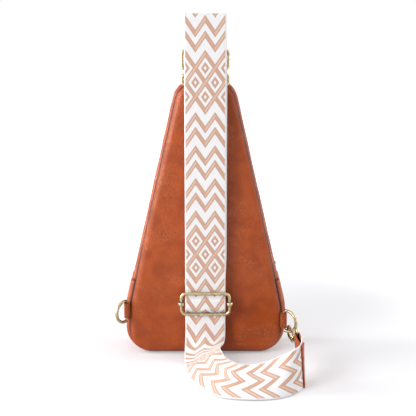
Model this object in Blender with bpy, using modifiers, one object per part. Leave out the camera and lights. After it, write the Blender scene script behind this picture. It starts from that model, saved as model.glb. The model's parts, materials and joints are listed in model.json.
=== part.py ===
"""Leather sling bag with a wide webbing strap, modelled piece by piece.

Metres, +Z up. The bag stands on its flat base at z = 0, its back faces -Y and its width runs along X.
"""

import math

import bmesh
import bpy
import numpy as np
from mathutils import Matrix, Vector

# Bag body
BAG_HEIGHT = 0.344
BASE_HALF_WIDTH = 0.101
TOP_HALF_WIDTH = 0.035
SHOULDER_HEIGHT = 0.060
NOTCH_HEIGHT = 0.095
BASE_DEPTH = 0.060
TOP_DEPTH = 0.040
BASE_CORNER_RADIUS = 0.032
SHOULDER_RADIUS = 0.110
TOP_CORNER_RADIUS = 0.026
LEATHER = 0.0018
GAP = 0.0003
SEAM_INSET_LOW = 0.0056
SEAM_INSET_HIGH = 0.0035
SEAM_REST = 0.0008
NOTCH_CLEARANCE = 0.01
EDGE_DROP = 0.003
EDGE_ROLL_WIDTH = 0.008
BACK_CROWN = 0.0025
GUSSET_HOLLOW = 0.004
GUSSET_STEP = 0.0012

# Zips
ZIP_OPENING = 0.011
ZIP_TAPE_WIDTH = 0.026
ZIP_TAPE = 0.0008
CHAIN_WIDTH = 0.006
CHAIN_HEIGHT = 0.0021
ZIP_PARK = 0.017
POCKET_ZIP_HEIGHT = 0.218
POCKET_ZIP_LENGTH = 0.086
POCKET_SLIDER_X = -0.034
ZIP_SLIDER_LENGTH = 0.010
ZIP_SLIDER_WALL = 0.0012
BAIL_RADIUS = 0.0030
BAIL_WIRE = 0.0007
PULL_LENGTH = 0.022
PULL_WIDTH = 0.0056
PULL_THICKNESS = 0.0012
PULL_BAR = 0.0016
PULL_HOLE = (0.0024, 0.0036)
POCKET_BAG_DEPTH = 0.115
BOARD_LENGTH = 0.124
BOARD_DEPTH = 0.034
BOARD = 0.002
BOARD_CORNER = 0.006

# Rings and their leather
WIRE = 0.002
RECT_RING_WIDTH = 0.0552
UPPER_RING_HEIGHT = 0.021
LOWER_RING_HEIGHT = 0.011
RING_CORNER = 0.003
TOP_HARDWARE_Y = -0.0285
LOWER_RING_DROP = 0.003
LINK_SPAN = 0.0075
LOOP_LEATHER = 0.0014
TOP_LOOP_WIDTH = 0.047
TOP_TAB_DROP = 0.028
TOP_TAB_BEND = 0.012
D_RING_HEIGHT = 0.0266
D_RING_DEPTH = 0.019
D_RING_CORNER = 0.0035
TAB_WIDTH = 0.020
TAB_REACH = 0.0043
TAB_BAR_Y = -0.0275
LEFT_TAB_HEIGHT = 0.0565
RIGHT_TAB_HEIGHT = 0.0436
LEFT_RING_SWING = math.radians(53)
RIGHT_RING_SWING = math.radians(42)

# Strap and its slider
STRAP_WIDTH = 0.050
WEBBING = 0.002
SLIDER_Y = -0.0425
SLIDER_HEIGHT = 0.070
SLIDER_WIDTH = 0.060
SLIDER_RISE = 0.027
SLIDER_CORNER = 0.006
SLIDER_BAR_RADIUS = 0.0016
SLEEVE_RADIUS = 0.00325
SLEEVE_WIRE = 0.00095
SLEEVE_STRETCH = 2.4
TAIL_RISE = 0.0145
STRAP_FOLD_RISE = 0.038
FOLD_RADIUS = 0.0025
INNER_STRAND_SHIFT = 0.0012
BAND_LIFT = 0.0003

# Bends of the strap round the slider, as y and z steps from the bar or the frame
TAIL_BENDS = ((0.0024, 0.0058), (0.0004, 0.0026))
TAIL_DIP = 0.0030
RISE_BEND = (0.0005, 0.0050)
WEAVE_BENDS = ((0.0006, 0.0020), (0.0021, 0.0042))
WEAVE_LAYERS = (1.3, 1.15)
WEAVE_HEIGHTS = (0.0055, 0.0020)
SHIFT_START = 0.03
SHIFT_END = 0.07
RING_EXIT = ((0.0004, 0.008), (0.0, 0.020))

# Snap hook
HOOK_RING_POINT = 0.009
HOOK_REACH = 0.0312
HOOK_WIRE = 0.0019
HOOK_HALF_WIDTH = 0.0068
HOOK_ARC_START = 0.032
HOOK_NOSE = 0.0264
GATE_PIVOT = 0.0142
GATE_WIRE = 0.0015
GATE_EAR_RADIUS = 0.0023
PIN_RADIUS = 0.0008
PIN_CLEARANCE = 0.0002
COLLAR_RADIUS = 0.0036
COLLAR_LENGTH = 0.0050
COLLAR_FOOT = 0.0008
HOOK_SHOULDER = 0.0125
SPINE_BENDS = ((-0.0024, 0.0035), (-0.0040, 0.0075))
ARM_BENDS = ((0.0024, 0.0035), (0.0040, 0.0070), (0.0060, 0.0106))
EAR_FOOT = 0.0092
HEAD_ROOM_CENTRE = 0.0073
HEAD_ROOM_LENGTH = 0.0030
BORE_LENGTH = 0.020
LEAF_START = 0.0029
GATE_WEB_HALF = 0.0012
GATE_WEB_LENGTH = 0.0045
PIN_HEADS = 0.0006
POST_RADIUS = 0.0012
POST_HEAD_RADIUS = 0.0019
POST_HEAD_LENGTH = 0.0012
POST_FOOT = -0.0042
POST_TOP = 0.0068
EYE_WIDTH = 0.032
EYE_WIRE = 0.0016
EYE_NECK = 0.010
EYE_NECK_PLACE = -0.0040
EYE_NECK_CUT = 0.0010
EYE_CORNER = 0.0025
STRAP_END_WIDTH = 0.0245
HOOK_EYE = Vector((0.1121, -0.0795, 0.0331))
HOOK_UP = Vector((-0.05, 0.0, 1.0))

# Worked out from the sizes above
WEDGE = (BASE_DEPTH - TOP_DEPTH) / 2 / BAG_HEIGHT
SIDE_SLOPE = math.atan2(BASE_HALF_WIDTH - TOP_HALF_WIDTH, BAG_HEIGHT - SHOULDER_HEIGHT)
LEAN = math.atan(WEDGE)
MAIN_SLIDER_HEIGHT = NOTCH_HEIGHT + ZIP_PARK
LOOP_RADIUS = WIRE + GAP + LOOP_LEATHER / 2
TOP_TAB_FOOT = BAG_HEIGHT - TOP_TAB_DROP
LOWER_BAR = BAG_HEIGHT - LOWER_RING_DROP
UPPER_BAR = LOWER_BAR + LOWER_RING_HEIGHT
LINK_TOP = UPPER_BAR + LINK_SPAN
STRAP_BAR = LINK_TOP + UPPER_RING_HEIGHT
STRAP_FOLD_HEIGHT = STRAP_BAR + STRAP_FOLD_RISE
STRAP_TAIL_TOP = SLIDER_HEIGHT + SLIDER_RISE / 2 + TAIL_RISE


def clear_scene():
    """Remove what the scene holds and make the two collections."""
    for old in list(bpy.data.objects):
        bpy.data.objects.remove(old)
    made = []
    for name in ("sling_bag", "cutters"):
        collection = bpy.data.collections.new(name)
        bpy.context.scene.collection.children.link(collection)
        made.append(collection)
    return made


PARTS, CUTTERS = clear_scene()


def material(name, colour, roughness, metallic=0.0):
    made = bpy.data.materials.new(name)
    made.use_nodes = True
    shader = made.node_tree.nodes["Principled BSDF"]
    shader.inputs["Base Color"].default_value = (*colour, 1.0)
    shader.inputs["Roughness"].default_value = roughness
    shader.inputs["Metallic"].default_value = metallic
    return made


def leather(name):
    return material(name, (0.40, 0.11, 0.035), 0.38)


def brass(name):
    return material(name, (0.50, 0.36, 0.16), 0.30, 1.0)


def add(name, data, finish, parent=None):
    """Link an object to the bag's collection, with its material and parent."""
    made = bpy.data.objects.new(name, data)
    PARTS.objects.link(made)
    data.materials.append(finish)
    made.parent = parent
    return made


def frame(name, place, turn=None):
    """An empty that carries pieces on a joint's axis."""
    made = bpy.data.objects.new(name, None)
    PARTS.objects.link(made)
    made.matrix_world = Matrix.Translation(place) @ (turn or Matrix.Identity(3)).to_4x4()
    return made


def smooth(mesh, angle=math.radians(40)):
    mesh.shade_smooth()
    mesh.set_sharp_from_angle(angle=angle)


def mesh_from(name, points, faces):
    mesh = bpy.data.meshes.new(name)
    mesh.from_pydata([tuple(p) for p in points], [], faces)
    mesh.update()
    return mesh


def to_mesh(source):
    """Turn a curve object into a mesh object, with its caps welded."""
    bpy.context.view_layer.update()
    evaluated = source.evaluated_get(bpy.context.evaluated_depsgraph_get())
    mesh = bpy.data.meshes.new_from_object(evaluated)
    work = bmesh.new()
    work.from_mesh(mesh)
    bmesh.ops.remove_doubles(work, verts=work.verts, dist=1e-6)
    bmesh.ops.recalc_face_normals(work, faces=work.faces)
    work.to_mesh(mesh)
    work.free()
    name, parent, world = source.name, source.parent, source.matrix_world.copy()
    finish = source.data.materials[0]
    bpy.data.objects.remove(source)
    mesh.materials.clear()
    made = add(name, mesh, finish, parent)
    made.matrix_world = world
    smooth(mesh)
    return made


def tube(name, points, radius, finish, parent=None, cyclic=False):
    """A round wire through the points."""
    curve = bpy.data.curves.new(name, "CURVE")
    curve.dimensions = "3D"
    curve.bevel_depth = radius
    curve.bevel_resolution = 2
    curve.use_fill_caps = not cyclic
    spline = curve.splines.new("POLY")
    spline.points.add(len(points) - 1)
    for point, place in zip(spline.points, points):
        point.co = (*place, 1.0)
    spline.use_cyclic_u = cyclic
    spline.use_smooth = True
    return add(name, curve, finish, parent)


def plate(name, outline, thickness, finish, parent=None, holes=()):
    """A flat outline in the XY plane with its thickness centred on it."""
    curve = bpy.data.curves.new(name, "CURVE")
    curve.dimensions = "2D"
    curve.fill_mode = "BOTH"
    curve.extrude = thickness / 2
    for ring in (outline, *holes):
        spline = curve.splines.new("POLY")
        spline.points.add(len(ring) - 1)
        for point, place in zip(spline.points, ring):
            point.co = (place[0], place[1], 0.0, 1.0)
        spline.use_cyclic_u = True
    return add(name, curve, finish, parent)


def cylinder(name, radius, length, centre, axis, finish, parent=None, sides=16):
    """A round bar, centred on a point and turned along an axis."""
    work = bmesh.new()
    turn = Vector(axis).to_track_quat("Z", "Y").to_matrix().to_4x4()
    bmesh.ops.create_cone(
        work,
        cap_ends=True,
        segments=sides,
        radius1=radius,
        radius2=radius,
        depth=length,
        matrix=Matrix.Translation(centre) @ turn,
    )
    mesh = bpy.data.meshes.new(name)
    work.to_mesh(mesh)
    work.free()
    smooth(mesh)
    return add(name, mesh, finish, parent)


def block(name, low, high, finish, parent=None):
    """A box between two corners."""
    low, high = Vector(low), Vector(high)
    work = bmesh.new()
    size = Matrix.Diagonal((*(high - low), 1.0))
    bmesh.ops.create_cube(work, size=1.0, matrix=Matrix.Translation((low + high) / 2) @ size)
    mesh = bpy.data.meshes.new(name)
    work.to_mesh(mesh)
    work.free()
    return add(name, mesh, finish, parent)


def cutter(made):
    """Move an object to the cutters, out of sight."""
    PARTS.objects.unlink(made)
    CUTTERS.objects.link(made)
    made.hide_render = True
    made.display_type = "WIRE"
    return made


def combine(target, tool, operation):
    """Add or cut one object with another that stays as a cutter."""
    modifier = target.modifiers.new(f"{operation.lower()}_{tool.name}", "BOOLEAN")
    modifier.object = cutter(tool) if tool.name in PARTS.objects else tool
    modifier.operation = operation


def arc(centre, radius, start, end, steps):
    """Points on an arc in a plane, from one angle in degrees to another."""
    angles = np.radians(np.linspace(start, end, steps + 1))
    return [(centre[0] + radius * math.cos(a), centre[1] + radius * math.sin(a)) for a in angles]


def rounded_rectangle(width, height, radius, steps=3):
    """A closed outline, centred on the origin, with round corners."""
    points = []
    for quarter, (sx, sy) in enumerate(((1, 1), (-1, 1), (-1, -1), (1, -1))):
        centre = (sx * (width / 2 - radius), sy * (height / 2 - radius))
        points += arc(centre, radius, 90 * quarter, 90 * quarter + 90, steps)
    return points


def outline_side():
    """The right half of the bag's outline, from base centre to top centre.

    Each row is x, z and the outward normal. Corners are arcs and the sides are straight.
    """
    base, top = BASE_HALF_WIDTH, TOP_HALF_WIDTH
    share = (NOTCH_HEIGHT - SHOULDER_HEIGHT) / (BAG_HEIGHT - SHOULDER_HEIGHT)
    notch_x = base + (top - base) * share
    corners = [
        ((base, 0.0), BASE_CORNER_RADIUS, 6),
        ((base, SHOULDER_HEIGHT), SHOULDER_RADIUS, 2),
        ((notch_x, NOTCH_HEIGHT), 0.0, 0),
        ((top, BAG_HEIGHT), TOP_CORNER_RADIUS, 5),
    ]
    stops = [(0.0, 0.0)] + [c[0] for c in corners] + [(0.0, BAG_HEIGHT)]
    rows = [(0.0, 0.0, 0.0, -1.0)]
    for index, (corner, radius, steps) in enumerate(corners, start=1):
        before, after = np.subtract(corner, stops[index - 1]), np.subtract(stops[index + 1], corner)
        before, after = before / np.linalg.norm(before), after / np.linalg.norm(after)
        first = math.atan2(-before[0], before[1])
        last = math.atan2(-after[0], after[1])
        reach = radius * math.tan((last - first) / 2)
        start = np.subtract(corner, before * reach)
        centre = start - radius * np.array((math.cos(first), math.sin(first)))
        for angle in np.linspace(first, last, steps + 1):
            normal = np.array((math.cos(angle), math.sin(angle)))
            rows.append((*(centre + radius * normal), *normal))
    rows.append((0.0, BAG_HEIGHT, 0.0, 1.0))
    return np.array(rows)


def subdivide(rows, longest):
    """Split the straight runs of an outline that are longer than a length."""
    split = [rows[0]]
    for start, end in zip(rows[:-1], rows[1:]):
        pieces = max(1, math.ceil(np.hypot(*(end[:2] - start[:2])) / longest))
        split += [start + (end - start) * k / pieces for k in range(1, pieces + 1)]
    return np.array(split)


OUTLINE = subdivide(outline_side(), 0.048)
NOTCH_ROW = int(np.argmin(np.abs(OUTLINE[:, 1] - NOTCH_HEIGHT)))


def mirrored(rows):
    return rows[::-1] * np.array((-1, 1, -1, 1))


def face_depth(z):
    """How far a face of the bag lies from its middle plane at a height."""
    return BASE_DEPTH / 2 - WEDGE * z


def edge_depth(z, side):
    """Where the gusset's edge lies: against the front's rim, with room for the tabs at the back."""
    return face_depth(z) - EDGE_DROP - LEATHER - GAP + (SEAM_REST if side > 0 else 0.0)


def ease(value, low, high):
    """A smooth step from 0 at low to 1 at high."""
    t = np.clip((value - low) / (high - low), 0.0, 1.0)
    return t * t * (3 - 2 * t)


def seam_inset(z):
    low, high = SEAM_INSET_LOW, SEAM_INSET_HIGH
    return low + (high - low) * ease(z, NOTCH_HEIGHT - 0.025, NOTCH_HEIGHT + 0.055)


def gusset_lift(across, z):
    """How far the gusset stands off the outline, across its width from -1 to 1.

    It rolls in to the seams at both edges and hollows along the middle of the sides.
    """
    edge = np.abs(across)
    roll = np.clip((edge - 0.72) / 0.28, 0.0, 1.0) ** 2
    hollow = 1.0 - ease(edge, 0.35, 0.72)
    return -seam_inset(z) * roll - GUSSET_HOLLOW * hollow * ease(z, SHOULDER_HEIGHT / 2, SHOULDER_HEIGHT)


def sheet(name, grid, thickness, outward, finish):
    """An open grid of points given a wall on its inner side."""
    rows, columns = grid.shape[:2]
    corner = np.arange(rows * columns).reshape(rows, columns)
    quads = np.stack((corner[:-1, :-1], corner[1:, :-1], corner[1:, 1:], corner[:-1, 1:]), axis=-1)
    quads = quads.reshape(-1, 4)
    first = grid[1, 0] - grid[0, 0]
    second = grid[0, 1] - grid[0, 0]
    if np.dot(np.cross(first, second), outward) < 0:
        quads = quads[:, ::-1]
    mesh = mesh_from(name, grid.reshape(-1, 3), quads.tolist())
    smooth(mesh)
    made = add(name, mesh, finish)
    wall = made.modifiers.new("wall", "SOLIDIFY")
    wall.thickness = thickness
    wall.offset = -1
    return made


def outline_sheet(name, rows, places, lift, thickness, finish):
    """A band along the outline: places gives y across it, lift the stand-off."""
    points = []
    for x, z, nx, nz in rows:
        y = places(z)
        off = lift(y, z)
        points.append(np.stack((x + nx * off, y, z + nz * off), axis=-1))
    grid = np.array(points)
    return sheet(name, grid, thickness, np.array((rows[0][2], 0.0, rows[0][3])), finish)


def bottom_gusset():
    rows = np.vstack((mirrored(OUTLINE[: NOTCH_ROW + 1]), OUTLINE[1 : NOTCH_ROW + 1]))
    across = np.array((-1, -0.95, -0.86, -0.76, -0.55, -0.3, 0.3, 0.55, 0.76, 0.86, 0.95, 1))

    def places(z):
        return across * np.where(across > 0, edge_depth(z, 1), edge_depth(z, -1))

    def lift(y, z):
        step = GUSSET_STEP * ease(z, SHOULDER_HEIGHT / 2, SHOULDER_HEIGHT)
        return gusset_lift(across, z) + step

    outline_sheet("bottom_gusset", rows, places, lift, LEATHER, leather("gusset_leather"))


def strip_rows():
    """The outline from just above the right notch, over the top, to the left one."""
    start = OUTLINE[NOTCH_ROW].copy()
    start[:2] += (OUTLINE[NOTCH_ROW + 1][:2] - start[:2]) * NOTCH_CLEARANCE
    right = np.vstack((start, OUTLINE[NOTCH_ROW + 1 :]))
    return np.vstack((right, mirrored(right)[1:]))


def zip_gusset(name, side):
    """One of the two leather strips beside the main zip: side is -1 at the back."""
    shares = np.array((0.0, 0.07, 0.2, 0.4, 0.7, 1.0))

    def places(z):
        edge = edge_depth(z, side)
        return side * (edge + (ZIP_OPENING / 2 - edge) * shares)

    def lift(y, z):
        return gusset_lift(y / edge_depth(z, side), z)

    outline_sheet(name, strip_rows(), places, lift, LEATHER, leather(f"{name}_leather"))


def zip_depth():
    """How far the main zip tape's outer face lies inside the outline."""
    return GUSSET_HOLLOW + LEATHER + GAP


def main_zip():
    """The tape and the chain of teeth, from notch to notch over the top."""
    rows = strip_rows()
    edges = np.array((-0.5, 0.5)) * ZIP_TAPE_WIDTH
    sunk = np.full(2, -zip_depth())
    tape = material("zip_tape", (0.10, 0.045, 0.02), 0.85)
    outline_sheet("main_zip_tape", rows, lambda z: edges, lambda y, z: sunk, ZIP_TAPE, tape)
    section = np.array((-0.5, -0.3, 0.3, 0.5)) * CHAIN_WIDTH
    lift = -zip_depth() + GAP + np.array((0.5, 1.0, 1.0, 0.5)) * CHAIN_HEIGHT
    teeth = brass("zip_teeth")
    outline_sheet("main_zip_chain", rows, lambda z: section, lambda y, z: lift, CHAIN_HEIGHT / 2, teeth)


def panel_grid(side, crown):
    """Points of the back (-1) or front (1) panel, rolled in at the rim."""
    first = int(np.flatnonzero(OUTLINE[:, 3] <= -1.0)[-1])
    last = int(np.flatnonzero(OUTLINE[:, 3] >= 1.0)[0])
    grid = []
    low = SEAM_INSET_LOW
    high = BAG_HEIGHT - SEAM_INSET_HIGH
    for x, z, nx, nz in OUTLINE[first : last + 1]:
        inset = seam_inset(z)
        half, height = x - nx * inset, z - nz * inset
        rim = np.array((0.0, 0.003, EDGE_ROLL_WIDTH))
        inner = half - EDGE_ROLL_WIDTH
        right = np.concatenate((half - rim, (inner * 0.5,)))
        xs = np.concatenate((right, (0.0,), -right[::-1]))
        nearest = np.minimum(half - np.abs(xs), min(height - low, high - height))
        drop = EDGE_DROP * np.clip(1 - nearest / EDGE_ROLL_WIDTH, 0.0, 1.0) ** 2
        swell = math.sqrt(max(0.0, math.sin(math.pi * (height - low) / (high - low))))
        bow = crown * (1 - (xs / half) ** 2) * swell
        y = side * (face_depth(height) + bow - drop)
        grid.append(np.stack((xs, y, np.full_like(xs, height)), axis=-1))
    return np.array(grid)


def back_panel():
    sheet("back_panel", panel_grid(-1, BACK_CROWN), LEATHER, (0, -1, 0), leather("back_leather"))


def pocket_frame():
    """A frame on the front face at the pocket zip, with its Z axis along the face."""
    place = (0.0, face_depth(POCKET_ZIP_HEIGHT), POCKET_ZIP_HEIGHT)
    return Matrix.Translation(place) @ Matrix.Rotation(LEAN, 4, "X")


def front_panel():
    """The front panel, flat, with the pocket zip's slot cut through it."""
    panel = sheet("front_panel", panel_grid(1, 0.0), LEATHER, (0, 1, 0), leather("front_leather"))
    slot = rounded_rectangle(POCKET_ZIP_LENGTH, ZIP_OPENING, ZIP_OPENING * 0.3)
    tool = plate("pocket_slot", slot, BASE_DEPTH / 4, leather("slot"))
    tool.matrix_world = pocket_frame() @ Matrix.Rotation(math.pi / 2, 4, "X")
    combine(panel, to_mesh(tool), "DIFFERENCE")


def upright_plate(name, outline, thickness, outer, finish, world, holes=()):
    """A plate in a frame's XZ plane whose outer face is at the given Y."""
    made = plate(name, outline, thickness, finish, holes=holes)
    shift = Matrix.Translation((0.0, outer - thickness / 2, 0.0))
    made.matrix_world = world @ shift @ Matrix.Rotation(math.pi / 2, 4, "X")
    return to_mesh(made)


def pocket_zip():
    world = pocket_frame()
    tape_face = -LEATHER - GAP
    cloth = material("pocket_tape", (0.10, 0.045, 0.02), 0.85)
    tape = rounded_rectangle(POCKET_ZIP_LENGTH + 0.012, ZIP_TAPE_WIDTH, 0.001, 1)
    upright_plate("pocket_zip_tape", tape, ZIP_TAPE, tape_face, cloth, world)
    chain_face = tape_face + GAP + CHAIN_HEIGHT
    chain = rounded_rectangle(POCKET_ZIP_LENGTH - 0.002, CHAIN_WIDTH, 0.001, 1)
    upright_plate("pocket_zip_chain", chain, CHAIN_HEIGHT, chain_face, brass("pocket_teeth"), world)
    lining = material("pocket_cloth", (0.12, 0.09, 0.06), 0.9)
    pouch = rounded_rectangle(POCKET_ZIP_LENGTH, POCKET_BAG_DEPTH, 0.010)
    shift = Matrix.Translation((0.0, 0.0, ZIP_TAPE_WIDTH / 2 - POCKET_BAG_DEPTH / 2))
    pouch_face = tape_face - ZIP_TAPE - GAP
    upright_plate("pocket_bag", pouch, LEATHER, pouch_face, lining, world @ shift)


def zip_slider(name, world, chain_face, along_x=False):
    """A slider and its pull. World has Y out of the surface and Z up along it.

    The channel rides over the chain, the bail stands on it, and the pull hangs from the bail.
    """
    metal = brass(f"{name}_metal")
    floor = chain_face + GAP
    roof = floor + ZIP_SLIDER_WALL
    foot = chain_face - CHAIN_HEIGHT + GAP / 3
    inner = CHAIN_WIDTH / 2 + GAP
    outer = inner + ZIP_SLIDER_WALL
    half = ZIP_SLIDER_LENGTH / 2
    body = block(name, (-outer, foot, -half), (outer, roof, half), metal)
    low, high = (-inner, foot - WIRE, -ZIP_SLIDER_LENGTH), (inner, floor, ZIP_SLIDER_LENGTH)
    channel = block(f"{name}_channel", low, high, metal)
    combine(body, channel, "DIFFERENCE")
    sunk = roof - BAIL_WIRE / 2
    bow = [(z, roof + y) for z, y in arc((0.0, 0.0), BAIL_RADIUS, 0, 180, 8)]
    hoop = [(0.0, y, z) for z, y in [(BAIL_RADIUS, sunk), *bow, (-BAIL_RADIUS, sunk)]]
    bail = to_mesh(tube(f"{name}_bail", hoop, BAIL_WIRE, metal))
    combine(body, bail, "UNION")
    body_turn = Matrix.Rotation(math.pi / 2, 4, "Y") if along_x else Matrix.Identity(4)
    body.matrix_world = world @ body_turn
    channel.matrix_world = world @ body_turn
    bail.matrix_world = world
    axis_place = world @ Vector((0.0, roof + (BAIL_RADIUS - BAIL_WIRE) / 2, 0.0))
    return frame(f"{name}_pull_axis", axis_place, world.to_3x3()), metal


def zip_pull(name, hang, metal):
    """The pull tab: a flat drop whose top bar turns under the bail."""
    half, bar = PULL_WIDTH / 2, PULL_BAR / 2
    hole_width, hole_height = PULL_HOLE
    shape = rounded_rectangle(PULL_WIDTH, 2 * half, half * 0.45, 3)[:8]
    shape = [(x, z + bar - half) for x, z in shape]
    shape += arc((0.0, -PULL_LENGTH + half), half * 0.8, 180, 360, 6)
    hole = rounded_rectangle(hole_width, hole_height, hole_width * 0.3, 2)
    hole = [(x, z - bar - hole_height / 2) for x, z in hole]
    made = plate(name, shape, PULL_THICKNESS, metal, hang, (hole,))
    made.matrix_world = hang.matrix_world @ Matrix.Rotation(math.pi / 2, 4, "X")
    return to_mesh(made)


def main_slider_frame():
    """On the right side's straight run: Y out of the surface and Z up along it."""
    share = (MAIN_SLIDER_HEIGHT - SHOULDER_HEIGHT) / (BAG_HEIGHT - SHOULDER_HEIGHT)
    x = BASE_HALF_WIDTH + (TOP_HALF_WIDTH - BASE_HALF_WIDTH) * share
    out = Vector((math.cos(SIDE_SLOPE), 0.0, math.sin(SIDE_SLOPE)))
    up = Vector((-math.sin(SIDE_SLOPE), 0.0, math.cos(SIDE_SLOPE)))
    turn = Matrix((out.cross(up), out, up)).transposed()
    return Matrix.Translation((x, 0.0, MAIN_SLIDER_HEIGHT)) @ turn.to_4x4()


def zip_sliders():
    """Both sliders with their pulls: the main one parked low, the pocket's at its left."""
    chain_face = -zip_depth() + GAP + CHAIN_HEIGHT
    zip_pull("main_zip_pull", *zip_slider("main_zip_slider", main_slider_frame(), chain_face))
    world = pocket_frame() @ Matrix.Translation((POCKET_SLIDER_X, 0.0, 0.0))
    pocket = zip_slider("pocket_zip_slider", world, CHAIN_HEIGHT - LEATHER, along_x=True)
    zip_pull("pocket_zip_pull", *pocket)


def base_board():
    """The stiffener that keeps the base flat."""
    outline = rounded_rectangle(BOARD_LENGTH, BOARD_DEPTH, BOARD_CORNER)
    board = plate("base_board", outline, BOARD, material("board", (0.2, 0.15, 0.1), 0.9))
    board.location = (0.0, 0.0, LEATHER + GAP + BOARD / 2)
    to_mesh(board)


def ribbon(name, centres, across, widths, thickness, finish, cyclic=False, parent=None):
    """A flat band: centre points, width directions, widths and one thickness."""
    centres, across = np.asarray(centres, float), np.asarray(across, float)
    across = across / np.linalg.norm(across, axis=1)[:, None]
    if cyclic:
        along = np.roll(centres, -1, axis=0) - np.roll(centres, 1, axis=0)
    else:
        along = np.gradient(centres, axis=0)
    normal = np.cross(along, across)
    normal /= np.linalg.norm(normal, axis=1)[:, None]
    side = across * (np.asarray(widths, float) / 2).reshape(-1, 1)
    rise = normal * thickness / 2
    left, right = centres - side, centres + side
    ring = np.stack((left - rise, right - rise, right + rise, left + rise), axis=1)
    count = len(centres)
    faces = []
    last = count if cyclic else count - 1
    for row in range(last):
        after = (row + 1) % count
        for k in range(4):
            step = (k + 1) % 4
            faces.append((4 * row + k, 4 * row + step, 4 * after + step, 4 * after + k))
    if not cyclic:
        faces.append((3, 2, 1, 0))
        top = 4 * (count - 1)
        faces.append((top, top + 1, top + 2, top + 3))
    mesh = mesh_from(name, ring.reshape(-1, 3), faces)
    work = bmesh.new()
    work.from_mesh(mesh)
    bmesh.ops.recalc_face_normals(work, faces=work.faces)
    work.to_mesh(mesh)
    work.free()
    smooth(mesh, math.radians(50))
    return add(name, mesh, finish, parent)


def ring_in_xz(name, width, height, radius, centre, finish):
    points = [(x, 0.0, z) for x, z in rounded_rectangle(width, height, radius)]
    made = tube(name, points, WIRE, finish, cyclic=True)
    made.location = centre
    return made


def top_hardware():
    """From the bag up: the tab, the lower ring, the leather link and the upper ring."""
    y = TOP_HARDWARE_Y
    lower, upper = (LOWER_BAR + UPPER_BAR) / 2, (LINK_TOP + STRAP_BAR) / 2
    rings = (("lower_ring", LOWER_RING_HEIGHT, lower), ("upper_ring", UPPER_RING_HEIGHT, upper))
    for name, height, centre in rings:
        ring_in_xz(name, RECT_RING_WIDTH, height, RING_CORNER, (0, y, centre), brass(f"{name}_brass"))
    link = arc((y, UPPER_BAR), LOOP_RADIUS, 180, 360, 8) + arc((y, LINK_TOP), LOOP_RADIUS, 0, 180, 8)
    loop_of_leather("top_link", link, True)
    seat = GAP + LOOP_LEATHER / 2
    bend = TOP_TAB_FOOT + TOP_TAB_BEND
    inner = -face_depth(TOP_TAB_FOOT) - BACK_CROWN * 0.75 - seat
    seated = -face_depth(bend) - BACK_CROWN * 0.6 - seat
    layer = LOOP_LEATHER + GAP
    tab = [(inner, TOP_TAB_FOOT), (seated, bend)]
    tab += arc((y, LOWER_BAR), LOOP_RADIUS, 0, 180, 10)
    tab += [(seated - layer, bend), (inner - layer, TOP_TAB_FOOT)]
    loop_of_leather("top_tab", tab, False)


def loop_of_leather(name, path, closed):
    """A strip of leather as wide as the top rings, along a path of y and z."""
    count = len(path)
    centres = [(0.0, y, z) for y, z in path]
    finish = leather(f"{name}_leather")
    ribbon(name, centres, [(1, 0, 0)] * count, [TOP_LOOP_WIDTH] * count, LOOP_LEATHER, finish, cyclic=closed)


def seam_x(z):
    """Where the panel's rim lies at a height, on the right side."""
    rows = OUTLINE[1:-1]
    x = float(np.interp(z, rows[:, 1], rows[:, 0]))
    return x - seam_inset(z)


def tab_bar_x(z):
    return seam_x(z) + TAB_REACH


def side_tab(name, side, height):
    """A leather loop sewn into the back seam, folded round the ring's bar."""
    root = seam_x(height - TAB_WIDTH / 2) + GAP
    bar = tab_bar_x(height)
    near = TAB_BAR_Y + LOOP_RADIUS
    far = near - LOOP_LEATHER - 2 * GAP
    path = [(root, near - GAP), (bar - WIRE, near)]
    path += arc((bar, TAB_BAR_Y), LOOP_RADIUS, 90, -90, 10)
    path += [(bar - WIRE, TAB_BAR_Y - LOOP_RADIUS), (root, far - GAP)]
    centres = [(side * x, y, height) for x, y in path]
    count = len(centres)
    finish = leather(f"{name}_leather")
    ribbon(name, centres, [(0, 0, 1)] * count, [TAB_WIDTH] * count, LOOP_LEATHER, finish)


def d_ring_outline():
    """The D ring's centre line: x away from its bar, z along it."""
    half = D_RING_HEIGHT / 2
    lower = arc((D_RING_CORNER, -half + D_RING_CORNER), D_RING_CORNER, 180, 270, 3)
    bow = arc((D_RING_DEPTH - half, 0.0), half, -90, 90, 12)
    upper = arc((D_RING_CORNER, half - D_RING_CORNER), D_RING_CORNER, 90, 180, 3)
    return lower + bow + upper


def d_ring(name, side, height, swing):
    points = [(x, 0.0, z) for x, z in d_ring_outline()]
    made = tube(name, points, WIRE, brass(f"{name}_brass"), cyclic=True)
    made.location = (side * tab_bar_x(height), TAB_BAR_Y, height)
    heading = -swing if side > 0 else math.pi + swing
    made.rotation_euler = (0.0, 0.0, heading)
    return made


def strap_slider():
    """The adjuster: a wire frame and the loose bar whose ends grip its sides."""
    centre = (0.0, SLIDER_Y, SLIDER_HEIGHT)
    ring_in_xz("slider_frame", SLIDER_WIDTH, SLIDER_RISE, SLIDER_CORNER, centre, brass("slider_brass"))
    metal = brass("slider_bar_brass")
    place = (0.0, SLIDER_Y + SLEEVE_RADIUS, SLIDER_HEIGHT)
    span = SLIDER_WIDTH - 2 * SLIDER_BAR_RADIUS
    bar = cylinder("slider_bar", SLIDER_BAR_RADIUS, span, place, (1, 0, 0), metal, sides=12)
    for side in (-1, 1):
        ring = [(x, y, 0.0) for x, y in arc((0.0, 0.0), SLEEVE_RADIUS, 0, 360, 20)[:-1]]
        sleeve = to_mesh(tube(f"sleeve_{side + 2}", ring, SLEEVE_WIRE, metal, cyclic=True))
        sleeve.data.transform(Matrix.Diagonal((1.0, 1.0, SLEEVE_STRETCH, 1.0)))
        sleeve.location = (side * SLIDER_WIDTH / 2, SLIDER_Y, SLIDER_HEIGHT)
        combine(bar, sleeve, "UNION")


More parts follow.
